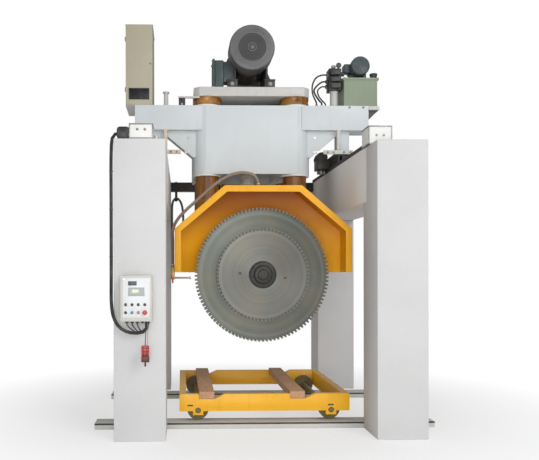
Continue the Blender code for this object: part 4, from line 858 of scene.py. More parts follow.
@dataclass
class ConcreteFrame(SubAssembly):
    """Pillars, beams, rails, rack, floor tracks, the rails' front covers and the hose's hook."""

    rail_front: float = -1.53
    rail_rear: float = 1.7233
    rack_x: float = 1.1253
    rack_width: float = 0.035
    tooth_pitch: float = 0.0251
    clip_pitch: float = 0.54
    track_half: float = 1.95

    def build(self) -> None:
        """Builds and dresses the frame."""
        pillars = [f"pillar_{row}_{side}" for row in ("front", "rear") for side in ("left", "right")]
        self.dress("pillar_concrete", 0.008, *pillars)
        # The beams' lighter concrete is painted light against their shade.
        self.dress("beam_concrete_painted_light", 0.006, "side_beam_left", "side_beam_right")
        self.dress("track_concrete", 0.005, "track_front", "track_rear")
        self.dress("dark_enamel", 0.006, "rear_tie_beam")
        self.dress("rail_steel", 0.003, "rail_left", "rail_right")
        self.rack()
        self.rail_clips()
        self.rail_covers()
        self.track_edges()
        self.hook()

    def rack(self) -> None:
        """The toothed rack beside the right rail."""
        finish = self.finishes["dark_enamel"]
        low, high = PILLAR_TOP + 0.0003, PILLAR_TOP + 0.0503
        back = block("bar", (self.rack_x + 0.010, self.rail_front, low),
                     (self.rack_x + self.rack_width, self.rail_rear, high), finish, 0.002)
        tooth = block("tooth", (0.0, -self.tooth_pitch * 0.25, low + 0.002),
                      (0.012, self.tooth_pitch * 0.25, high - 0.002), finish, 0.003, 1)
        count = int((self.rail_rear - self.rail_front) / self.tooth_pitch)
        teeth = repeated(tooth, [(self.rack_x, self.rail_front + (i + 0.5) * self.tooth_pitch, 0.0)
                                 for i in range(count)])
        self.fit(joined("toothed_rack", [back, *teeth]), "travel_rack", slot="dark_paint")

    def rail_clips(self) -> None:
        """Clips and bolts that hold the rails down."""
        low, high = PILLAR_TOP + 0.0153, PILLAR_TOP + 0.0313
        clip = block("clip", (-0.028, -0.04, low), (0.028, 0.04, high), self.finishes["dull_steel"], 0.003)
        steps = int((self.rail_rear - self.rail_front) / self.clip_pitch)
        places = [(side * RAIL_X + edge, self.rail_front + 0.2 + i * self.clip_pitch)
                  for _, side in SIDES for edge in (-0.062, 0.062) for i in range(steps)]
        self.fit(joined("rail_clips", repeated(clip, [(x, y, 0.0) for x, y in places])))
        self.bolt("rail_clip_bolts", [(x, y, high) for x, y in places], Axis.Z, 0.026)

    def rail_covers(self) -> None:
        """White boxes over the rails' front ends, with a grey frame and two bolts."""
        base, steel = PILLAR_TOP, self.finishes["dull_steel"]
        for name, left, right, front, rear, high in (("left", -1.508, -1.262, -1.80, -1.56, 3.36),
                                                     ("right", 1.112, 1.365, -1.55, -1.26, 3.402)):
            self.fit(block(f"rail_cover_{name}", (left, front, base), (right, rear, high),
                           self.finishes["white_enamel"], 0.006, 3))
            rim = [block("rim", (left - 0.006, front - 0.006, z), (right + 0.006, rear, z + 0.014),
                         steel, 0.003)
                   for z in (base, high - 0.010)]
            rim += [block("rim", (x - 0.007, front - 0.006, base), (x + 0.007, front + 0.006, high),
                          steel, 0.003)
                    for x in (left, right)]
            self.fit(joined(f"rail_cover_rim_{name}", rim))
            heads = [((left + right) / 2 + x, front, base + 0.10) for x in (-0.04, 0.04)]
            self.bolt(f"rail_cover_bolts_{name}", heads, Axis.Y, 0.022)

    def track_edges(self) -> None:
        """Steel angles along the front and rear edges of the floor tracks."""
        steel = self.finishes["dark_enamel"]
        for name, start, end in (("front", -1.2697, -1.0297), ("rear", 0.5497, 0.7897)):
            strips = [block("strip", (-self.track_half, y - 0.003, 0.052),
                            (self.track_half, y + 0.003, 0.0705), steel, 0.0015) for y in (start, end)]
            self.fit(joined(f"track_edge_{name}", strips))

    def hook(self) -> None:
        """The strap and hook under the tie beam, from which a spare hose hangs."""
        dark = self.finishes["dark_enamel"]
        strap = block("strap", (-1.062, 1.60, 2.90), (-1.022, 1.612, 3.19), dark, 0.002)
        cap = block("cap", (-1.062, 1.60, 3.19), (-1.022, 1.70, 3.204), dark, 0.002)
        peg = turned("peg", [(0.016, 0.0), (0.016, 0.075), (0.028, 0.078), (0.028, 0.088)],
                     (-1.042, 1.612, 2.915), Axis.Y, dark, 0.002, 24)
        self.fit(joined("hose_hook", [strap, cap, peg]))


@dataclass
class Bridge(SubAssembly):
    """The travelling bridge: housing, arms, trucks, brackets, drive and lift cylinder."""

    housing_bottom: float = 3.116
    arm_underside: float = 3.712
    truck_top: float = 3.4353
    middle_y: float = 0.69
    pinion: Tuple[float, float] = (1.065, 0.75)

    def build(self) -> None:
        """Builds and dresses the bridge."""
        self.dress("bridge_enamel", 0.006, "bridge_housing", "bridge_arm_left", "bridge_arm_right")
        self.dress("dark_enamel", 0.005, "end_truck_left", "end_truck_right")
        self.dress("pale_enamel", 0.003, "lift_barrel")
        self.sleeve_rims()
        self.seams()
        self.cylinder_bolts()
        self.left_post()
        self.brackets()
        self.wipers()
        self.drive()
        self.tank_shelf()

    def sleeve_rims(self) -> None:
        """White rims round the four columns, above and below the housing."""
        columns = [(x, y) for x in (-COLUMN_X, COLUMN_X) for y in COLUMN_Y]
        white = self.finishes["white_enamel"]
        levels = ((HOUSING_TOP, 0.020), (self.housing_bottom - 0.022, 0.022))
        rims = [ring("rim", COLUMN_RADIUS + 0.003, 0.198, (x, y, z), depth, Axis.Z, white, 0.003)
                for x, y in columns for z, depth in levels]
        self.fit(joined("sleeve_rims", rims))
        places = [(*point, HOUSING_TOP + 0.02) for column in columns
                  for point in circle(8, 0.182, column, 0.5)]
        self.bolt("sleeve_bolts", places, Axis.Z, 0.016)

    def seams(self) -> None:
        """Weld beads where the arms meet the housing and along the front panel's edges."""
        paint = self.finishes["bridge_enamel"]
        beads = []
        for _, side in SIDES:
            beads.append(block("bead", (side * 0.634, BRIDGE_FRONT - 0.0025, self.housing_bottom + 0.05),
                               (side * 0.640, BRIDGE_FRONT + 0.002, HOUSING_TOP - 0.01), paint, 0.002))
            beads.append(block("bead", (side * 0.80, BRIDGE_FRONT - 0.002, self.arm_underside - 0.002),
                               (side * 1.58, BRIDGE_FRONT + 0.004, self.arm_underside + 0.006), paint, 0.002))
        self.fit(joined("weld_beads", beads))

    def cylinder_bolts(self) -> None:
        """The bolts of the cylinder's flange, its gland and its foot."""
        places = [(*point, HOUSING_TOP + 0.0303) for point in circle(8, 0.152, (0.0, self.middle_y))]
        self.bolt("cylinder_bolts", places, Axis.Z, 0.026)
        gland = ring("cylinder_gland", 0.058, 0.100, (0.0, self.middle_y, 4.125), 0.014, Axis.Z,
                     self.finishes["bright_steel"], 0.003)
        self.fit(gland)
        foot = turned("cylinder_foot", [(0.060, 0.0), (0.085, 0.012), (0.085, 0.035), (0.078, 0.04)],
                      (0.0, self.middle_y, 3.030), Axis.Z, self.finishes["white_enamel"], 0.003)
        self.fit(foot)

    def left_post(self) -> None:
        """The round lifting post with its flanges on the left arm."""
        pale = self.finishes["pale_enamel"]
        steps = [(0.052, 0.0), (0.052, 0.012), (0.032, 0.016), (0.030, 0.195), (0.046, 0.200), (0.046, 0.218)]
        self.fit(turned("post_left", steps, (-1.168, 0.30, HOUSING_TOP), Axis.Z, pale, 0.002))

    def brackets(self) -> None:
        """T brackets under the arms, in front of the trucks."""
        for (name, side), finish in zip(SIDES, ("beige_bracket_enamel", "pale_enamel")):
            upright = block("upright", (side * 1.148, 0.098, self.truck_top + 0.003),
                            (side * 1.194, 0.165, self.arm_underside), self.finishes[finish], 0.003)
            flange = block("flange", (side * 1.128, 0.136, self.arm_underside - 0.012),
                           (side * 1.214, 0.20, self.arm_underside), self.finishes[finish], 0.002)
            bar = block("bar", (side * 0.965, 0.096, self.truck_top - 0.055),
                        (side * 1.365, 0.126, self.truck_top), self.finishes[finish], 0.003)
            self.fit(joined(f"truck_bracket_{name}", [upright, flange, bar]))
            heads = [(side * x, 0.096, self.truck_top - 0.028) for x in (1.02, 1.10, 1.24, 1.33)]
            self.bolt(f"truck_bracket_bolts_{name}", heads, Axis.Y, 0.026)
            plates = [(side * x, 0.21, z) for x, z in ((0.862, 3.42), (0.895, 3.42), (0.862, 3.62))]
            self.bolt(f"haunch_bolts_{name}", plates, Axis.Y, 0.030, "bright_steel")

    def wipers(self) -> None:
        """Black rubber wipers at the trucks' ends, cut out round the rail's head."""
        rubber = self.finishes["black_rubber"]
        low, high = 3.236, 3.36
        for name, side in SIDES:
            x = side * RAIL_X
            parts = []
            for y in (0.108, 1.292):
                parts.append(block("web", (x - 0.075, y, 3.296), (x + 0.075, y + 0.018, high), rubber, 0.004))
                parts += [block("cheek", (x + a, y, low), (x + b, y + 0.018, high), rubber, 0.004)
                          for a, b in ((-0.075, -0.038), (0.038, 0.075))]
            self.fit(joined(f"rail_wipers_{name}", parts))

    def drive(self) -> None:
        """The travel gearmotor with its cooling fins, and the pinion's teeth and hub."""
        self.dress("dark_enamel", 0.006, "travel_gearmotor")
        dark = self.finishes["dark_enamel"]
        x, y = self.pinion
        fin = ring("fin", 0.074, 0.083, (x, y, 3.43), 0.005, Axis.Y, dark, 0.0)
        fins = repeated(fin, [(0.0, 0.10 - 0.014 * i, 0.0) for i in range(12)])
        self.fit(joined("travel_motor_fins", fins))
        points = []
        for i in range(15):
            for share, radius in ((0.0, 0.052), (0.22, 0.052), (0.36, 0.0605), (0.64, 0.0605), (0.78, 0.052)):
                angle = 2 * math.pi * (i + share) / 15
                points.append((radius * math.cos(angle), radius * math.sin(angle)))
        gear = plate("gear", points, -0.0235, 0.0235, self.finishes["dull_steel"], 0.001)
        gear.data.transform(Matrix.Rotation(math.pi / 2, 4, "X"))
        gear.data.transform(Matrix.Translation((x, y, 3.2265)))
        hub = turned("hub", [(0.020, 0.0), (0.020, 0.062)], (x, y, 3.198), Axis.Z,
                     self.finishes["dull_steel"])
        self.fit(joined("pinion_gear", [gear, hub]), "travel_pinion", body=Body.PINION, slot="steel")

    def tank_shelf(self) -> None:
        """The shelf under the oil tank, its dark gusset and the tank's bolts."""
        top = HOUSING_TOP
        pale = self.finishes["pale_enamel"]
        self.fit(block("tank_shelf", (1.588, 0.133, top - 0.052), (1.738, 0.62, top), pale, 0.004))
        gusset = plate("tank_gusset", [(1.587, top - 0.054), (1.724, top - 0.054), (1.587, top - 0.188)],
                       0.16, 0.18, self.finishes["dark_enamel"])
        self.fit(gusset)
        self.bolt("tank_bolts", [(x, BRIDGE_FRONT, top - 0.022) for x in (1.325, 1.512)], Axis.Y, 0.024)


@dataclass
class HydraulicPack(SubAssembly):
    """Oil tank, pump motor, valve block and the fittings of their short hoses."""

    tank_lid: float = 4.4283
    pump_x: float = 1.491
    pump_z: float = 4.6086
    pump_radius: float = 0.13
    pump_front: float = 0.18
    block_x: Tuple[float, float] = (1.061, 1.231)
    block_y: Tuple[float, float] = (0.20, 0.38)
    block_z: Tuple[float, float] = (4.2733, 4.5733)

    def build(self) -> None:
        """Builds and dresses the pack."""
        self.dress("tank_green", 0.005, "oil_tank")
        self.filler()
        self.pump()
        self.valves()

    def filler(self) -> None:
        """The black filler cap with its ribs, and the lid's bolts."""
        black = self.finishes["black_plastic"]
        cap = turned("cap", [(0.047, 0.0), (0.047, 0.052), (0.052, 0.054), (0.052, 0.076), (0.044, 0.081)],
                     (1.678, 0.225, self.tank_lid - 0.002), Axis.Z, black, 0.002, 40)
        rib = block("rib", (0.050, -0.002, 4.482), (0.0535, 0.002, 4.502), black, 0.001, 1)
        self.fit(joined("filler_cap", [cap, *around(rib, (1.678, 0.225, 0.0), full_turn(24), "Z")]))
        heads = [(x, y, self.tank_lid) for x in (1.26, 1.48, 1.70) for y in (0.155, 0.60)]
        self.bolt("tank_lid_bolts", heads, Axis.Z, 0.020)

    def pump(self) -> None:
        """The pump motor: fan cover, ribbed body, feet and terminal box."""
        teal = self.finishes["pump_teal"]
        radius, front, z = self.pump_radius, self.pump_front, self.pump_z
        rear = front + 0.36
        cover = turned("cover", [(radius - 0.004, 0.0), (radius, 0.006), (radius, 0.075),
                                 (radius - 0.010, 0.090)],
                       (self.pump_x, front + 0.090, z), Axis.Y, teal, 0.003, 56)
        core = turned("core", [(radius - 0.028, 0.0), (radius - 0.022, 0.01), (radius - 0.022, 0.275)],
                      (self.pump_x, rear, z), Axis.Y, teal, 0.002, 48)
        fin = block("fin", (radius - 0.030, front + 0.095, -0.002), (radius - 0.006, rear - 0.03, 0.002),
                    teal, 0.001, 1)
        fins = around(fin, (self.pump_x, 0.0, z), full_turn(36))
        feet = [block("foot", (self.pump_x + a, front + 0.10, self.tank_lid),
                      (self.pump_x + b, rear - 0.05, z - 0.085),
                      teal, 0.004) for a, b in ((-0.105, -0.055), (0.055, 0.105))]
        box = block("terminals", (1.291, front + 0.10, 4.5386), (1.41, front + 0.22, 4.6586), teal, 0.010, 3)
        lid = block("lid", (1.286, front + 0.094, 4.55), (1.292, front + 0.226, 4.648), teal, 0.003)
        self.fit(joined("pump_motor_body", [cover, core, *fins, *feet, box, lid]), "pump_motor",
                 slot="motor_paint")
        rings = [ring("ring", r, r + 0.006, (self.pump_x, front - 0.002, z), 0.004, Axis.Y, teal, 0.001)
                 for r in (0.02, 0.042, 0.064, 0.086, 0.108)]
        spoke = block("spoke", (0.02, front - 0.004, -0.003), (0.11, front + 0.001, 0.003), teal, 0.001, 1)
        self.fit(joined("pump_fan_grille", [*rings, *around(spoke, (self.pump_x, 0.0, z), full_turn(8))]))

    def valves(self) -> None:
        """The valve block's solenoids, knob, gauge and fittings, and the right lifting post."""
        black, steel = self.finishes["black_plastic"], self.finishes["dull_steel"]
        self.dress("black_plastic", 0.006, "valve_block")
        low_x, high_x = self.block_x
        parts = []
        for i, z in enumerate((4.325, 4.415, 4.505)):
            parts.append(block("valve", (low_x + 0.015, self.block_y[0] - 0.055, z - 0.032),
                               (high_x - 0.02, self.block_y[0] + 0.002, z + 0.032), black, 0.006, 3))
            parts.append(turned("coil", [(0.026, 0.0), (0.030, 0.006), (0.030, 0.052), (0.024, 0.058),
                                         (0.010, 0.062)],
                                (high_x - 0.01, self.block_y[0] + 0.05, z), Axis.X, black, 0.002, 32))
        self.fit(joined("solenoid_valves", parts))
        top = self.block_z[1]
        knob = turned("knob", [(0.014, 0.0), (0.014, 0.018), (0.030, 0.022), (0.032, 0.046), (0.022, 0.056)],
                      (1.135, 0.26, top), Axis.Z, self.finishes["grey_plastic"], 0.002, 32)
        gauge = turned("gauge", [(0.010, -0.03), (0.010, 0.0), (0.034, 0.0), (0.036, 0.006), (0.036, 0.022),
                                 (0.030, 0.026)],
                       (1.19, 0.20, top + 0.035), Axis.Y, black, 0.001, 40)
        stem = turned("stem", [(0.009, 0.0), (0.009, 0.04)], (1.19, 0.215, top - 0.002), Axis.Z,
                      black, 0.0, 16)
        self.fit(knob)
        self.fit(joined("pressure_gauge", [gauge, stem]))
        sleeve = turned("post_right", [(0.073, 0.0), (0.073, 0.022), (0.0535, 0.026), (0.0535, 0.215),
                                       (0.064, 0.219), (0.064, 0.2295)],
                        (1.146, 0.29, 4.0433), Axis.Z, self.finishes["pale_enamel"], 0.002)
        self.fit(sleeve)
        nuts = [turned("nut", [(0.024, 0.0), (0.028, 0.004), (0.028, 0.022), (0.022, 0.026)],
                       (1.036, y, z), Axis.X, steel, 0.0, 6) for y, z in ((0.24, 4.49), (0.33, 4.355))]
        self.fit(joined("hose_nuts", nuts))
        feet = [turned("foot", [(0.026, 0.0), (0.026, 0.016), (0.020, 0.018), (0.020, 0.036)],
                       (x, y, 4.043), Axis.Z, steel, 0.0, 6) for x, y in ((0.895, 0.235), (1.035, 0.30))]
        self.fit(joined("hose_feet", feet))


@dataclass
class Cabinet(SubAssembly):
    """The electric cabinet with its vented door."""

    x: Tuple[float, float] = (-1.708, -1.348)
    front: float = BRIDGE_FRONT
    z: Tuple[float, float] = (4.0436, 5.1283)
    vent_x: Tuple[float, float] = (-1.667, -1.391)
    vent_z: Tuple[float, float] = (4.115, 4.268)

    def build(self) -> None:
        """Builds and dresses the cabinet."""
        # The body's greener paint is painted shade on its side; the door keeps the pebble grey.
        self.dress("cabinet_green_painted_shade", 0.004, "cabinet")
        self.dress("cabinet_beige", 0.004, "cabinet_door")
        self.vent()
        self.lock_and_hinges()
        foot = block("cabinet_plinth", (self.x[0] - 0.004, self.front + 0.03, 4.034), (-1.585, 0.75, 4.0434),
                     self.finishes["pale_enamel"], 0.002)
        self.fit(foot)

    def vent(self) -> None:
        """A black louvred vent low on the door."""
        black = self.finishes["black_plastic"]
        (left, right), (low, high) = self.vent_x, self.vent_z
        parts = [block("back", (left, self.front - 0.002, low), (right, self.front + 0.001, high),
                       black, 0.001)]
        parts += [block("side", (x, self.front - 0.008, low), (x + 0.010, self.front, high), black, 0.002)
                  for x in (left, right - 0.010)]
        parts += [block("edge", (left, self.front - 0.008, z), (right, self.front, z + 0.010), black, 0.002)
                  for z in (low, high - 0.010)]
        slat = block("slat", (left + 0.008, -0.007, -0.0012), (right - 0.008, 0.004, 0.0012),
                     black, 0.0008, 1)
        slat.data.transform(Matrix.Rotation(math.radians(35), 4, "X"))
        count = 11
        pitch = (high - low - 0.02) / count
        parts += repeated(slat, [(0.0, self.front - 0.003, low + 0.01 + (i + 0.5) * pitch)
                                 for i in range(count)])
        self.fit(joined("door_vent", parts), body=Body.DOOR)

    def lock_and_hinges(self) -> None:
        """The door's turn lock, the two hinge knuckles and the cabinet's roof."""
        steel = self.finishes["dull_steel"]
        lock = turned("door_lock", [(0.012, 0.0), (0.012, 0.005), (0.008, 0.007), (0.008, 0.010)],
                      (-1.375, self.front, 4.60), Axis.Y, steel, 0.001, 24)
        self.fit(lock, body=Body.DOOR)
        knuckles = [turned("knuckle", [(0.006, 0.0), (0.007, 0.002), (0.007, 0.058), (0.006, 0.06)],
                           (self.x[0] - 0.005, self.front + 0.012, z), Axis.Z, steel, 0.0, 20)
                    for z in (4.22, 4.90)]
        self.fit(joined("door_hinges", knuckles), body=Body.DOOR)
        roof = block("cabinet_roof", (self.x[0] - 0.006, self.front + 0.02, self.z[1] - 0.002),
                     (self.x[1] + 0.006, 0.756, self.z[1] + 0.006), self.finishes["cabinet_beige"], 0.003)
        self.fit(roof)


@dataclass
class Head(SubAssembly):
    """The lifted head: platform, columns, carriage, main motor and belt drive."""

    column_z: Tuple[float, float] = (2.1003, 4.1737)
    platform_z: Tuple[float, float] = (4.174, 4.300)
    motor_z: float = 4.83
    motor_front: float = 0.12
    motor_rear: float = 1.15
    motor_radius: float = 0.285
    cover_radius: float = 0.31

    def build(self) -> None:
        """Builds and dresses the head."""
        self.dress("pale_enamel", 0.006, "platform")
        self.dress("bridge_enamel", 0.005, "spindle_carriage")
        self.dress("chromed_rod", 0.0, "lift_rod")
        self.columns()
        self.motor()
        self.fan_cover()
        self.feet()
        self.switch()
        self.belts()
        self.carriage()

    def columns(self) -> None:
        """Four greased columns, each with a clamp collar under the platform."""
        low, high = self.column_z
        collar = ((0.0, 0.110), (0.035, 0.108), (0.035, 0.080), (0.026, 0.055), (0.036, 0.025), (0.036, 0.0))
        steps = [(COLUMN_RADIUS, 0.0)] + [(COLUMN_RADIUS + out, high - low - down) for out, down in collar]
        for side, sign in SIDES:
            for row, y in zip(("front", "rear"), COLUMN_Y):
                x = sign * COLUMN_X
                column = turned(f"greased_column_{row}_{side}", steps, (x, y, low), Axis.Z,
                                self.finishes["greased_column"], 0.0, 64)
                self.fit(column, f"column_{row}_{side}", slot="greased_steel")
                top = [(*point, self.platform_z[1]) for point in circle(6, 0.10, (x, y))]
                self.bolt(f"column_bolts_{row}_{side}", top, Axis.Z, 0.030)

    def motor(self) -> None:
        """The main motor's ribbed body, end bell, terminal box and eye bolt."""
        paint = self.finishes["motor_grey"]
        z, radius = self.motor_z, self.motor_radius
        bell = turned("bell", [(0.043, 0.0), (0.115, 0.004), (radius + 0.015, 0.050), (radius + 0.018, 0.096),
                               (radius - 0.03, 0.10)], (0.0, self.motor_rear, z), Axis.Y, paint, 0.004, 72)
        core = turned("core", [(radius - 0.032, 0.0), (radius - 0.028, 0.01), (radius - 0.028, 0.74)],
                      (0.0, self.motor_rear - 0.095, z), Axis.Y, paint, 0.0, 72)
        fin = block("fin", (radius - 0.040, 0.30, -0.003), (radius, self.motor_rear - 0.105, 0.003),
                    paint, 0.0015, 1)
        fins = around(fin, (0.0, 0.0, z), [math.radians(a) for a in range(0, 360, 6) if not 60 <= a <= 120])
        teal = self.finishes["pump_teal"]
        box = block("box", (-0.50, 0.305, 4.34), (-0.375, 0.56, 4.71), teal, 0.014, 3)
        lid = block("lid", (-0.53, 0.29, 4.325), (-0.498, 0.575, 4.725), teal, 0.010, 3)
        neck = block("neck", (-0.40, 0.34, 4.42), (-0.20, 0.53, 4.70), teal, 0.010)
        glands = [turned("gland", [(0.020, 0.0), (0.024, 0.006), (0.024, 0.020), (0.017, 0.034)],
                         (-0.44, y, 4.306), Axis.Z, teal, 0.0, 12) for y in (0.36, 0.44, 0.52)]
        self.fit(joined("terminal_box", [box, lid, neck, *glands]))
        eye = turned("eye", [(0.022, 0.0), (0.022, 0.02), (0.012, 0.026), (0.012, 0.05)],
                     (0.0, 0.66, z + radius - 0.04), Axis.Z, paint, 0.002, 24)
        loop = ring("loop", 0.016, 0.030, (0.0, 0.667, z + radius + 0.02), 0.014, Axis.Y, paint, 0.004, 32)
        body = joined("main_motor_body", [bell, core, *fins, eye, loop])
        self.fit(body, "main_motor", slot="motor_paint")
        heads = [(-0.53, y, zz) for y in (0.315, 0.55) for zz in (4.35, 4.70)]
        self.bolt("terminal_bolts", heads, Axis.X, 0.020, towards=-1)

    def fan_cover(self) -> None:
        """The fan cover: a rolled drum with a ringed grille over the fan."""
        steel, dark = self.finishes["fan_cover_steel"], self.finishes["motor_grey"]
        rear, front, radius = self.motor_front + 0.30, self.motor_front, self.cover_radius
        drum = turned("fan_cover_drum", [(radius - 0.004, 0.0), (radius, 0.004), (radius, 0.275),
                                         (radius - 0.008, 0.292), (radius - 0.030, 0.300)],
                      (0.0, rear, self.motor_z), Axis.Y, steel, 0.002, 96)
        self.fit(drum)
        sizes = ((0.190, 0.205, 0.009), (0.222, 0.232, 0.006), (0.250, 0.260, 0.006))
        bands = [ring("band", inner, outer, (0.0, front + 0.001, self.motor_z), depth, Axis.Y,
                      steel, 0.002, 80)
                 for inner, outer, depth in sizes]
        hub = [ring("hub", 0.050, 0.060, (0.0, front - 0.004, self.motor_z), 0.006, Axis.Y, steel, 0.001, 48),
               turned("cap", [(0.030, 0.0), (0.030, 0.006), (0.016, 0.010)],
                      (0.0, front - 0.004, self.motor_z), Axis.Y, steel, 0.001, 40)]
        self.fit(joined("fan_cover_bands", [*bands, *hub]))
        # A dark disc behind the grille's rings: painted shade inside the fan cover.
        self.fit(turned("fan_recess_shade", [(0.190, 0.0), (0.188, 0.003)],
                        (0.0, front + 0.001, self.motor_z), Axis.Y, dark, 0.0, 80))
        rings = [ring("ring", r, r + 0.006, (0.0, front - 0.002, self.motor_z), 0.005, Axis.Y, dark,
                      0.0015, 64)
                 for r in (0.072, 0.094, 0.116, 0.138, 0.160)]
        self.fit(joined("fan_grille", rings))

    def feet(self) -> None:
        """Cast feet with ribs, pads and holding-down bolts."""
        paint, base = self.finishes["dark_enamel"], self.platform_z[1] + 0.0003
        parts, heads = [], []
        for _, side in SIDES:
            parts.append(block("pad", (side * 0.20, 0.28, base), (side * 0.345, 1.03, base + 0.035),
                               paint, 0.004))
            parts.append(block("wall", (side * 0.205, 0.30, base + 0.03), (side * 0.235, 1.01, 4.68),
                               paint, 0.006))
            parts += [plate("rib", [(side * 0.21, base + 0.03), (side * 0.325, base + 0.03),
                                    (side * 0.225, 4.54)],
                            y, y + 0.022, paint) for y in (0.30, 0.52, 0.76, 0.99)]
            parts.append(block("block", (side * 0.185, 0.262, base), (side * 0.33, 0.30, base + 0.135),
                               paint, 0.008))
            parts.append(block("cap", (side * 0.180, 0.258, base + 0.120),
                               (side * 0.335, 0.33, base + 0.137), paint))
            heads += [(side * 0.30, y, base + 0.035) for y in (0.40, 0.64, 0.90)]
        self.fit(joined("motor_feet", parts))
        self.bolt("motor_foot_bolts", heads, Axis.Z, 0.042, "bright_steel")
        self.bolt("motor_block_bolts", [(side * 0.262, 0.262, base + 0.07) for _, side in SIDES],
                  Axis.Y, 0.040)

    def switch(self) -> None:
        """The travel switch on its bar at the platform's left side."""
        bar = block("switch_bar", (-1.0, 0.165, 4.150), (-0.70, 0.205, 4.1737),
                    self.finishes["pale_enamel"], 0.003)
        body = block("body", (-0.994, 0.160, 4.056), (-0.905, 0.210, 4.150),
                     self.finishes["black_plastic"], 0.005, 3)
        roller = turned("roller", [(0.012, 0.0), (0.012, 0.012)], (-0.95, 0.158, 4.062), Axis.Y,
                        self.finishes["grey_plastic"], 0.001, 24)
        self.fit(bar)
        self.fit(joined("travel_switch", [body, roller]))

    def loop_outline(self, motor: float, spindle: float, steps: int = 24) -> List[Tuple[float, float]]:
        """The outline round the two pulleys' axes.

        Args:
            motor: the radius round the motor's axis.
            spindle: the radius round the spindle's axis.
            steps: how many points a half turn has.

        Returns:
            Points of (x, z).
        """
        lean = math.asin((spindle - motor) / (self.motor_z - SPINDLE_Z))
        points = []
        for i in range(steps + 1):
            angle = lean + (math.pi - 2 * lean) * i / steps
            points.append((motor * math.cos(angle), self.motor_z + motor * math.sin(angle)))
        for i in range(2 * steps + 1):
            angle = math.pi - lean + (math.pi + 2 * lean) * i / (2 * steps)
            points.append((spindle * math.cos(angle), SPINDLE_Z + spindle * math.sin(angle)))
        return points

    def belts(self) -> None:
        """Six V belts, and the belt guard with its ribs, bolts and handles."""
        rubber = self.finishes["black_rubber"]
        outer = plate("outer", self.loop_outline(0.162, 0.382), 0.0, 0.020, rubber, 0.0)
        inner = plate("inner", self.loop_outline(0.1445, 0.3645), -0.01, 0.030, rubber, 0.0)
        apply_modifier(outer, "BOOLEAN", operation="DIFFERENCE", object=inner)
        bpy.data.objects.remove(inner)
        rounded(outer, 0.003, 1, 40.0)
        belts = repeated(outer, [(0.0, 1.3325 + 0.025 * i, 0.0) for i in range(6)])
        self.fit(joined("v_belts", belts), "drive_belts", slot="black_rubber")
        self.dress("cart_yellow", 0.0015, "belt_guard")
        yellow = self.finishes["cart_yellow"]
        ribs = [block("rib", (-0.20, 1.519, z), (0.20, 1.527, z + 0.04), yellow, 0.003)
                for z in (2.45, 3.15, 3.85, 4.45)]
        self.fit(joined("belt_guard_ribs", ribs))
        handles, steel = [], self.finishes["dull_steel"]
        for x in (-0.16, 0.16):
            handles.append(block("grip", (x - 0.007, 1.548, 3.40), (x + 0.007, 1.560, 3.58), steel, 0.004, 3))
            handles += [block("leg", (x - 0.006, 1.518, z), (x + 0.006, 1.552, z + 0.012), steel, 0.002)
                        for z in (3.402, 3.566)]
        self.fit(joined("belt_guard_handles", handles))
        heads = [(x * 0.85, 1.52, z) for x, z in self.loop_outline(0.20, 0.42, 5)]
        self.bolt("belt_guard_bolts", heads, Axis.Y, 0.022, towards=-1)
        self.dress("dull_steel", 0.002, "motor_pulley", "driven_pulley")

    def carriage(self) -> None:
        """The carriage's ribs and its column bolts."""
        paint = self.finishes["bridge_enamel"]
        ribs = [plate("rib", [(side * 0.11, 2.0), (side * 0.62, 2.0), (side * 0.62, 1.95), (side * 0.19, 1.78)],
                      y, y + 0.03, paint)
                for _, side in SIDES for y in (0.22, 0.62, 1.04)]
        self.fit(joined("carriage_ribs", ribs))
        heads = [(*point, 1.95) for x in (-COLUMN_X, COLUMN_X) for y in COLUMN_Y
                 for point in circle(6, 0.11, (x, y))]
        self.bolt("carriage_bolts", heads, Axis.Z, 0.032, towards=-1)


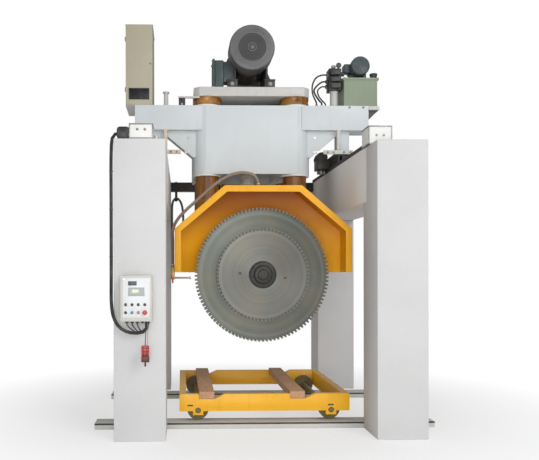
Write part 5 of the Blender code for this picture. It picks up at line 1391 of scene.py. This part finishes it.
@dataclass
class Hood(SubAssembly):
    """The hood over the blades, its back braces and its water line."""

    rear: float = -0.5453
    valve_x: float = -1.0653

    def build(self) -> None:
        """Builds and dresses the hood."""
        self.dress("hood_yellow", 0.004, "blade_guard")
        self.braces()
        self.water()

    def braces(self) -> None:
        """Angle braces between the carriage and the hood's back, and the bolts through it."""
        yellow = self.finishes["cart_yellow"]
        parts = []
        for _, side in SIDES:
            parts.append(block("pad", (side * 0.42, self.rear + 0.001, 2.02),
                               (side * 0.56, self.rear + 0.013, 2.20), yellow, 0.003))
            parts.append(block("bar", (side * 0.46, self.rear + 0.010, 2.03), (side * 0.52, 0.135, 2.085),
                               yellow, 0.004))
        self.fit(joined("hood_braces", parts))
        heads = [(side * x, self.rear + 0.013, z) for _, side in SIDES for x in (0.44, 0.54)
                 for z in (2.10, 2.18)]
        self.bolt("hood_brace_bolts", heads, Axis.Y, 0.024, towards=-1)
        rim = [(x, self.rear - 0.012, z) for x, z in circle(8, 0.235, (0.0, SPINDLE_Z))]
        self.bolt("hood_flange_bolts", rim, Axis.Y, 0.030)

    def water(self) -> None:
        """The valve's body with its hexagons, the spray pipe's nozzle, the lever and the inlet."""
        x, y = self.valve_x, BLADE_Y
        brass, steel = self.finishes["dull_brass"], self.finishes["bright_steel"]
        self.dress("dull_brass", 0.004, "water_valve")
        hexes = [turned("hexagon", [(0.029, 0.0), (0.031, 0.004), (0.031, 0.022), (0.027, 0.026)],
                        (x, y, z), Axis.Z, brass, 0.0, 6) for z in (1.700, 1.838)]
        self.fit(joined("valve_hexagons", hexes))
        pipe = turned("spray_pipe", [(0.011, 0.0), (0.011, 0.165), (0.015, 0.168), (0.015, 0.190),
                                     (0.009, 0.196)],
                      (-1.042, y, 1.72), Axis.X, steel, 0.001, 24)
        self.fit(pipe)
        self.dress("red_plastic", 0.0015, "valve_lever")
        nut = turned("lever_nut", [(0.009, 0.0), (0.009, 0.007)], (x, y - 0.0313, 1.736), Axis.Y,
                     steel, 0.001, 6)
        self.fit(nut, body=Body.LEVER)
        clip = ring("inlet_clamp", 0.0195, 0.0235, (-0.030, y, 2.846), 0.014, Axis.Z, steel, 0.001, 40)
        foot = ring("valve_clamp", 0.0195, 0.0235, (x, y, 1.872), 0.014, Axis.Z, steel, 0.001, 40)
        self.fit(joined("hose_clamps", [clip, foot]))


@dataclass
class Spindle(SubAssembly):
    """The blades with their cutting segments, and the spindle's end."""

    large_y: Tuple[float, float] = (-0.80, -0.93)
    small_y: float = -1.00
    large_radius: float = 0.80
    small_radius: float = 0.55
    large_teeth: int = 108
    small_teeth: int = 74
    gullet: float = 0.032
    thickness: float = 0.010
    pins: Tuple[Tuple[float, float], ...] = ((-0.269, 0.016), (0.266, -0.038))

    def build(self) -> None:
        """Builds and dresses the spindle."""
        for row, y in zip(("rear", "front"), self.large_y):
            # The large blades' darker steel is painted shade behind the small blade.
            self.disc(f"large_blade_{row}", self.large_radius, self.large_teeth, y, "large_disc_painted_shade")
        self.disc("small_blade", self.small_radius, self.small_teeth, self.small_y, "small_disc")
        for holder in frame["nodes"]["spindle_shaft"].material_slots:
            holder.material = self.finishes["spindle_flange"]
        self.end()

    def disc(self, node: str, radius: float, teeth: int, y: float, finish: str) -> None:
        """One blade: a slotted disc and a cutting segment on each tooth.

        Args:
            node: the blade's node.
            radius: the radius over the segments.
            teeth: how many teeth it has.
            y: the blade's middle.
            finish: the disc's finish.
        """
        pitch = 2 * math.pi / teeth
        floor = radius - self.gullet
        points = []
        for i in range(teeth):
            for share, reach in ((0.00, floor + 0.004), (0.06, radius - 0.004), (0.56, radius - 0.004),
                                 (0.62, floor + 0.004), (0.72, floor), (0.90, floor)):
                angle = (i + share) * pitch
                points.append((reach * math.cos(angle), SPINDLE_Z + reach * math.sin(angle)))
        disc = plate(f"{node}_disc", points, y - self.thickness / 2, y + self.thickness / 2,
                     self.finishes[finish], 0.0)
        self.fit(disc, node)
        half = 0.26 * pitch * radius
        model = block("segment", (radius - 0.013, y - 0.0064, -half), (radius + 0.0004, y + 0.0064, half),
                      self.finishes["cutting_segment"], 0.001, 1)
        copies = around(model, (0.0, 0.0, SPINDLE_Z), [-angle for angle in full_turn(teeth, 0.31)])
        self.fit(joined(f"{node}_segments", copies))

    def end(self) -> None:
        """The clamp flange, its nut and bolts, the shaft's centre, and black discs painted as the shade in the
        blades' pin holes.
        """
        dark = self.finishes["spindle_flange"]
        flange = turned("flange", [(0.160, 0.0), (0.160, 0.024), (0.150, 0.032), (0.140, 0.0348)],
                        (0.0, -1.0055, SPINDLE_Z), Axis.Y, dark, 0.002, 72)
        nut = turned("nut", [(0.112, 0.0), (0.108, 0.004), (0.104, 0.026), (0.094, 0.030)],
                     (0.0, -1.0395, SPINDLE_Z), Axis.Y, dark, 0.002, 48)
        self.fit(joined("clamp_flange_and_nut", [flange, nut]), "clamp_flange", slot="motor_paint")
        stub = turned("spindle_nose", [(0.064, 0.0), (0.062, 0.010), (0.058, 0.018), (0.040, 0.021),
                                       (0.034, 0.014), (0.018, 0.014), (0.012, 0.006)],
                      (0.0, -1.0655, SPINDLE_Z), Axis.Y, dark, 0.001, 56)
        self.fit(stub)
        heads = [(x, -1.0398, z) for x, z in circle(8, 0.128, (0.0, SPINDLE_Z), 0.3)]
        self.bolt("clamp_bolts", heads, Axis.Y, 0.020, "spindle_flange")
        # Thin black discs stand in for the pin holes: painted shade, not openings.
        painted_shade_holes = [turned("hole", [(0.0145, 0.0), (0.0145, 0.0006)], (x, -1.005, SPINDLE_Z + z), Axis.Y,
                        self.finishes["black_rubber"], 0.0, 32) for x, z in self.pins]
        self.fit(joined("pin_hole_shade_discs", painted_shade_holes))


@dataclass
class ControlStation(SubAssembly):
    """The control box on the front left pillar with its panel, glands and pendant."""

    lid_front: float = -2.0006
    face: Tuple[Tuple[float, float], Tuple[float, float]] = ((-1.562, -1.286), (1.325, 1.728))
    rows: Tuple[float, float] = (1.455, 1.373)
    columns: Tuple[float, ...] = (-1.533, -1.467, -1.403, -1.336)
    bottom: float = 1.282
    cable_y: float = -1.9003

    def build(self) -> None:
        """Builds and dresses the station."""
        self.dress("cabinet_pale", 0.004, "control_box", "control_lid")
        self.dress("black_plastic", 0.0, "junction_box")
        self.panel()
        self.buttons()
        self.glands()
        self.pendant()

    def panel(self) -> None:
        """The white face with a bare dark plate and the display."""
        (left, right), (low, high) = self.face
        front = self.lid_front
        self.fit(block("panel_face", (left, front - 0.002, low), (right, front, high),
                       self.finishes["panel_white"], 0.001), body=Body.LID)
        self.fit(block("bare_plate", (-1.508, front - 0.004, 1.652), (-1.420, front - 0.002, 1.696),
                       self.finishes["pump_teal"], 0.001), body=Body.LID)
        sides = [block("side", (x, front - 0.007, 1.543), (x + 0.006, front - 0.002, 1.631),
                       self.finishes["grey_plastic"], 0.002) for x in (-1.506, -1.346)]
        sides += [block("edge", (-1.506, front - 0.007, z), (-1.340, front - 0.002, z + 0.006),
                        self.finishes["grey_plastic"], 0.002) for z in (1.543, 1.625)]
        sides.append(block("plate", (-1.504, front - 0.004, 1.545), (-1.342, front - 0.002, 1.629),
                           self.finishes["grey_plastic"], 0.001))
        self.fit(joined("display_bezel", sides), body=Body.LID)
        self.fit(block("display_glass", (-1.490, front - 0.0055, 1.566), (-1.392, front - 0.004, 1.618),
                       self.finishes["display"], 0.0005), body=Body.LID)
        screws = [(x, front - 0.002, z) for x in (left + 0.012, right - 0.012)
                  for z in (low + 0.012, high - 0.012)]
        self.fit(bolts("panel_screws", screws, Axis.Y, 0.008, self.finishes["bright_steel"]), body=Body.LID)

    def buttons(self) -> None:
        """The rows of dark buttons, the lamp, and the two working buttons."""
        front = self.lid_front - 0.002
        steps = [(0.0155, 0.0), (0.0155, 0.004), (0.0125, 0.005), (0.0125, 0.011), (0.0105, 0.013)]
        places = [(x, self.rows[0]) for x in self.columns] + [(self.columns[0], self.rows[1])]
        dark = [turned("button", steps, (x, front, z), Axis.Y, self.finishes["black_plastic"], 0.0008, 28)
                for x, z in places]
        self.fit(joined("dark_buttons", dark), body=Body.LID)
        lamp = turned("fault_lamp", steps, (self.columns[2], front, self.rows[1]), Axis.Y,
                      self.finishes["rose_plastic"], 0.0008, 28)
        self.fit(lamp, body=Body.LID)
        self.dress("green_plastic", 0.0008, "start_button")
        self.dress("red_plastic", 0.0012, "emergency_stop")

    def glands(self) -> None:
        """Cable glands under the box and the ties round the cable."""
        black = self.finishes["black_plastic"]
        made = [turned("gland", [(0.011, 0.0), (0.014, 0.008), (0.018, 0.014), (0.018, 0.023),
                                 (0.016, 0.026)],
                       (x, self.cable_y, self.bottom - 0.026), Axis.Z, black, 0.0, 12)
                for x in (-1.53, -1.475, -1.42, -1.367)]
        self.fit(joined("cable_glands", made))
        collar = ring("main_gland", 0.0185, 0.026, (-1.315, self.cable_y, self.bottom - 0.026), 0.026,
                      Axis.Z, black, 0.002, 24)
        self.fit(collar)
        ties = [ring("tie", 0.0182, 0.021, (-1.701, -1.80, z), 0.008, Axis.Z, black, 0.001, 40)
                for z in (1.95, 2.45, 2.85)]
        self.fit(joined("cable_ties", ties))

    def pendant(self) -> None:
        """The hanging push-button case: a red upper shell, a dark lower boot and its keys."""
        x, y, low, high = -1.334, -1.9706, 0.860, 1.030
        self.fit(block("pendant_case", (x - 0.040, y - 0.0225, low + 0.062), (x + 0.040, y + 0.0225, high),
                       self.finishes["red_plastic"], 0.010, 4), "pendant", slot="red_plastic")
        boot = block("boot", (x - 0.041, y - 0.0235, low), (x + 0.041, y + 0.0235, low + 0.066),
                     self.finishes["maroon_plastic"], 0.010, 4)
        tail = turned("tail", [(0.010, 0.0), (0.010, 0.02), (0.006, 0.046)], (x, y, low - 0.044), Axis.Z,
                      self.finishes["maroon_plastic"], 0.001, 24)
        self.fit(joined("pendant_boot", [boot, tail]))
        keys = [turned("key", [(0.011, 0.0), (0.011, 0.003), (0.009, 0.005)], (x + a, y - 0.0225, z), Axis.Y,
                       self.finishes["black_plastic"], 0.0008, 24)
                for z in (1.005, 0.972, 0.939) for a in (-0.016, 0.016)]
        self.fit(joined("pendant_keys", keys))


@dataclass
class Cart(SubAssembly):
    """The block cart with its wheels and timbers."""

    wheel_x: float = 0.77
    wheel_z: float = 0.1953
    front: float = -1.19
    rear: float = 0.71

    def build(self) -> None:
        """Builds and dresses the cart."""
        self.dress("cart_yellow", 0.005, "cart_frame")
        self.dress("sawn_timber", 0.006, "timber_left", "timber_right")
        self.dress("wheel_olive", 0.003, "wheelset_left", "wheelset_right")
        self.bearings()
        self.slots()

    def bearings(self) -> None:
        """Bearing caps over the axles' ends, and the wheels' rims."""
        yellow = self.finishes["cart_yellow"]
        caps = [ring("cap", 0.034, 0.052, (side * self.wheel_x, y, self.wheel_z), 0.012, Axis.Y,
                     yellow, 0.003, 48)
                for _, side in SIDES for y in (self.front + 0.002, self.rear + 0.010)]
        self.fit(joined("bearing_caps", caps))
        for (name, side), body in zip(SIDES, (Body.WHEELS_LEFT, Body.WHEELS_RIGHT)):
            rims = [ring("rim", 0.088, 0.1255, (side * self.wheel_x, y, self.wheel_z), 0.004, Axis.Y,
                         self.finishes["wheel_olive"], 0.0015, 64) for y in (-1.0885, 0.5415)]
            self.fit(joined(f"wheel_rims_{name}", rims), body=body)

    def slots(self) -> None:
        """Dark plates painted as the shade in short slots of the front beam, and the tow eye."""
        dark = self.finishes["dark_enamel"]
        # Thin dark plates on the face stand in for the slots' openings: painted shade.
        slots = [block("slot", (x - 0.032, self.front - 0.0012, 0.244),
                       (x + 0.032, self.front + 0.001, 0.262), dark, 0.0008) for x in (-0.86, 0.765)]
        self.fit(joined("front_slot_shade", slots))
        self.fit(ring("tow_eye", 0.018, 0.034, (1.013, -0.247, 0.284), 0.016, Axis.Y,
                      self.finishes["cart_yellow"], 0.004, 36))


CORDS = (
    Cord("control_cable_bundle",
         ((-1.6453, -1.72, 3.265), (-1.665, -1.72, 3.265), (-1.697, -1.735, 3.21), (-1.703, -1.76, 3.10),
          (-1.703, -1.79, 2.9), (-1.701, -1.80, 2.5), (-1.701, -1.80, 2.1), (-1.701, -1.80, 1.8),
          (-1.700, -1.815, 1.62), (-1.695, -1.85, 1.48), (-1.675, -1.885, 1.34), (-1.62, -1.9003, 1.23),
          (-1.53, -1.9003, 1.168), (-1.42, -1.9003, 1.155), (-1.345, -1.9003, 1.175),
          (-1.315, -1.9003, 1.225), (-1.315, -1.9003, 1.2817)),
         0.036, "black_rubber", Body.FRAME, ("control_cable",), spacing=0.06),
    Cord("panel_lead_left",
         ((-1.53, -1.9003, 1.262), (-1.53, -1.9003, 1.245), (-1.505, -1.9003, 1.213),
          (-1.462, -1.9003, 1.180), (-1.435, -1.9003, 1.160)),
         0.011, "black_rubber", Body.FRAME, spacing=0.008),
    Cord("panel_lead_middle",
         ((-1.475, -1.9003, 1.262), (-1.475, -1.9003, 1.245), (-1.455, -1.9003, 1.213),
          (-1.425, -1.9003, 1.180), (-1.405, -1.9003, 1.160)),
         0.011, "black_rubber", Body.FRAME, spacing=0.008),
    Cord("panel_lead_right",
         ((-1.42, -1.9003, 1.262), (-1.42, -1.9003, 1.245), (-1.408, -1.9003, 1.215),
          (-1.390, -1.9003, 1.185), (-1.375, -1.9003, 1.165)),
         0.011, "black_rubber", Body.FRAME, spacing=0.008),
    Cord("spare_hose",
         ((-1.106, 1.575, 2.25), (-1.106, 1.575, 2.40), (-1.108, 1.575, 2.70), (-1.104, 1.575, 2.84),
          (-1.080, 1.575, 2.920), (-1.042, 1.575, 2.949), (-0.995, 1.575, 2.920), (-0.955, 1.575, 2.84),
          (-0.935, 1.575, 2.70), (-0.930, 1.575, 2.45), (-0.930, 1.575, 2.34)),
         0.036, "grey_hose", Body.FRAME, far_end="bare"),
    Cord("pendant_lead",
         ((-1.334, -1.9706, 1.2817), (-1.334, -1.9706, 1.2417), (-1.329, -1.9706, 1.156),
          (-1.334, -1.9706, 1.07), (-1.334, -1.9706, 1.0303)),
         0.008, "black_rubber", Body.FRAME, ("pendant_cord",), stiffness="limp", spacing=0.02),
    Cord("pendant_wire",
         ((-1.311, -1.9706, 1.2817), (-1.311, -1.9706, 1.2417), (-1.309, -1.9706, 1.156),
          (-1.311, -1.9706, 1.07), (-1.311, -1.9706, 1.0290)),
         0.005, "dull_steel", Body.FRAME, stiffness="limp", spacing=0.02),
    Cord("oil_hose_main",
         ((1.0307, 0.29, 4.4133), (0.9907, 0.29, 4.4133), (0.9057, 0.275, 4.3483), (0.868, 0.27, 4.27),
          (0.93, 0.255, 4.15), (0.97, 0.25, 4.1083), (0.97, 0.25, 4.0733)),
         0.024, "black_rubber", Body.BRIDGE, ("oil_hose",), spacing=0.03),
    Cord("oil_hose_upper",
         ((1.0380, 0.24, 4.49), (0.985, 0.24, 4.492), (0.895, 0.238, 4.455), (0.842, 0.236, 4.36),
          (0.840, 0.235, 4.24), (0.880, 0.235, 4.14), (0.895, 0.235, 4.105), (0.895, 0.235, 4.066)),
         0.022, "black_rubber", Body.BRIDGE, spacing=0.03),
    Cord("oil_hose_lower",
         ((1.0380, 0.33, 4.355), (0.985, 0.33, 4.353), (0.930, 0.328, 4.30), (0.945, 0.322, 4.22),
          (0.995, 0.31, 4.15), (1.030, 0.302, 4.11), (1.035, 0.30, 4.066)),
         0.020, "black_rubber", Body.BRIDGE, spacing=0.02),
    Cord("water_hose_line",
         ((-0.030, -0.83, 2.8323), (-0.030, -0.83, 2.868), (-0.078, -0.83, 2.955), (-0.17, -0.83, 2.985),
          (-0.27, -0.83, 2.985), (-0.40, -0.83, 2.945), (-0.55, -0.83, 2.85), (-0.72, -0.83, 2.70),
          (-0.90, -0.83, 2.54), (-1.005, -0.83, 2.425), (-1.0643, -0.83, 2.30), (-1.0653, -0.83, 2.17),
          (-1.0653, -0.83, 2.03), (-1.0653, -0.83, 1.91), (-1.0653, -0.83, 1.8603)),
         0.038, "hose_rubber", Body.HEAD, ("water_hose",)),
)


@dataclass
class Studio:
    """The camera, the floor and the lights."""

    camera_place: Point = (-0.957, -8.731, 1.791)
    camera_turn: Point = (math.radians(90.0), math.radians(0.08), math.radians(-1.43))
    lens: float = 44.38
    shift: Tuple[float, float] = (0.1321, 0.0777)
    floor_colour: Colour = (0.90, 0.90, 0.90)
    floor_fade: Tuple[float, float] = (2.2, 4.5)
    world_strength: float = 0.44

    def camera(self) -> None:
        """Places the camera where the photograph was taken."""
        data = bpy.data.cameras.new("camera")
        data.lens = self.lens
        data.sensor_width = 36.0
        data.shift_x, data.shift_y = self.shift
        data.clip_end = 200.0
        piece = bpy.data.objects.new("camera", data)
        piece.location = self.camera_place
        piece.rotation_euler = self.camera_turn
        bpy.context.scene.collection.objects.link(piece)
        bpy.context.scene.camera = piece

    def floor(self) -> None:
        """A plain pale floor that keeps the saw's shadow."""
        clear_selection()
        bpy.ops.mesh.primitive_plane_add(size=120.0, location=(0.0, 0.0, -0.0005))
        piece = bpy.context.object
        piece.name = "floor"
        sheet = NodeSheet("floor")
        glow = sheet.node("Emission", Color=(1.0, 1.0, 1.0, 1.0), Strength=1.0)
        path = sheet.node("LightPath")
        mixed = sheet.node("MixShader")
        parts = sheet.node("SeparateXYZ", Vector=sheet.coordinates)
        x, y = parts.outputs["X"], parts.outputs["Y"]
        away = sheet.distance(x, y)
        seen = sheet.product(path.outputs["Is Camera Ray"], sheet.spread(away, *self.floor_fade, 0.55, 1.0))
        sheet.tree.links.new(seen, mixed.inputs[0])
        sheet.finish(self.floor_colour, 0.9)
        sheet.tree.links.new(sheet.shader.outputs[0], mixed.inputs[1])
        sheet.tree.links.new(glow.outputs[0], mixed.inputs[2])
        output = sheet.tree.nodes["Material Output"]
        sheet.tree.links.new(mixed.outputs[0], output.inputs["Surface"])
        piece.data.materials.append(sheet.material)

    def world(self) -> None:
        """A soft world that lights gently and shows white to the camera and through glass."""
        world = bpy.data.worlds.new("studio")
        bpy.context.scene.world = world
        world.use_nodes = True
        tree = world.node_tree
        background = tree.nodes["Background"]
        path = tree.nodes.new("ShaderNodeLightPath")
        seen = tree.nodes.new("ShaderNodeMath")
        seen.operation = "MAXIMUM"
        tree.links.new(path.outputs["Is Camera Ray"], seen.inputs[0])
        tree.links.new(path.outputs["Is Transmission Ray"], seen.inputs[1])
        strength = tree.nodes.new("ShaderNodeMapRange")
        tree.links.new(seen.outputs[0], strength.inputs["Value"])
        strength.inputs["To Min"].default_value = self.world_strength
        strength.inputs["To Max"].default_value = 1.0
        tree.links.new(strength.outputs["Result"], background.inputs["Strength"])
        background.inputs["Color"].default_value = (1.0, 1.0, 1.0, 1.0)

    def lamp(self, name: str, place_at: Point, aim: Point, size: float, power: float) -> None:
        """A square area lamp aimed at a point."""
        data = bpy.data.lights.new(name, "AREA")
        data.size = size
        data.energy = power
        piece = bpy.data.objects.new(name, data)
        piece.location = place_at
        piece.rotation_euler = (Vector(aim) - Vector(place_at)).to_track_quat("-Z", "Y").to_euler()
        bpy.context.scene.collection.objects.link(piece)

    def build(self) -> None:
        """Sets up the studio."""
        bpy.context.scene.view_settings.view_transform = "Standard"
        self.camera()
        self.floor()
        self.world()
        self.lamp("key", (5.5, -11.0, 8.0), (0.0, 0.0, 2.4), 6.0, 540.0)
        self.lamp("fill", (-1.5, -11.5, 1.6), (0.0, 0.0, 2.4), 5.0, 440.0)


def main() -> None:
    """Builds the studio, the cords and every sub-assembly in order."""
    logging.basicConfig(level=logging.INFO, format="%(name)s: %(message)s")
    clear_selection()
    finishes = Finishes((0.0, BLADE_Y + LAYOUT_SHIFT_Y, SPINDLE_Z))
    Studio().build()
    for cord in CORDS:
        cord.build(finishes)
    for part in (ConcreteFrame(finishes, Body.FRAME), Bridge(finishes, Body.BRIDGE),
                 HydraulicPack(finishes, Body.BRIDGE), Cabinet(finishes, Body.BRIDGE),
                 Head(finishes, Body.HEAD), Hood(finishes, Body.HEAD), Spindle(finishes, Body.SPINDLE),
                 ControlStation(finishes, Body.FRAME), Cart(finishes, Body.CART)):
        LOG.info("building %s", type(part).__name__)
        part.build()


if __name__ == "__main__":
    main()
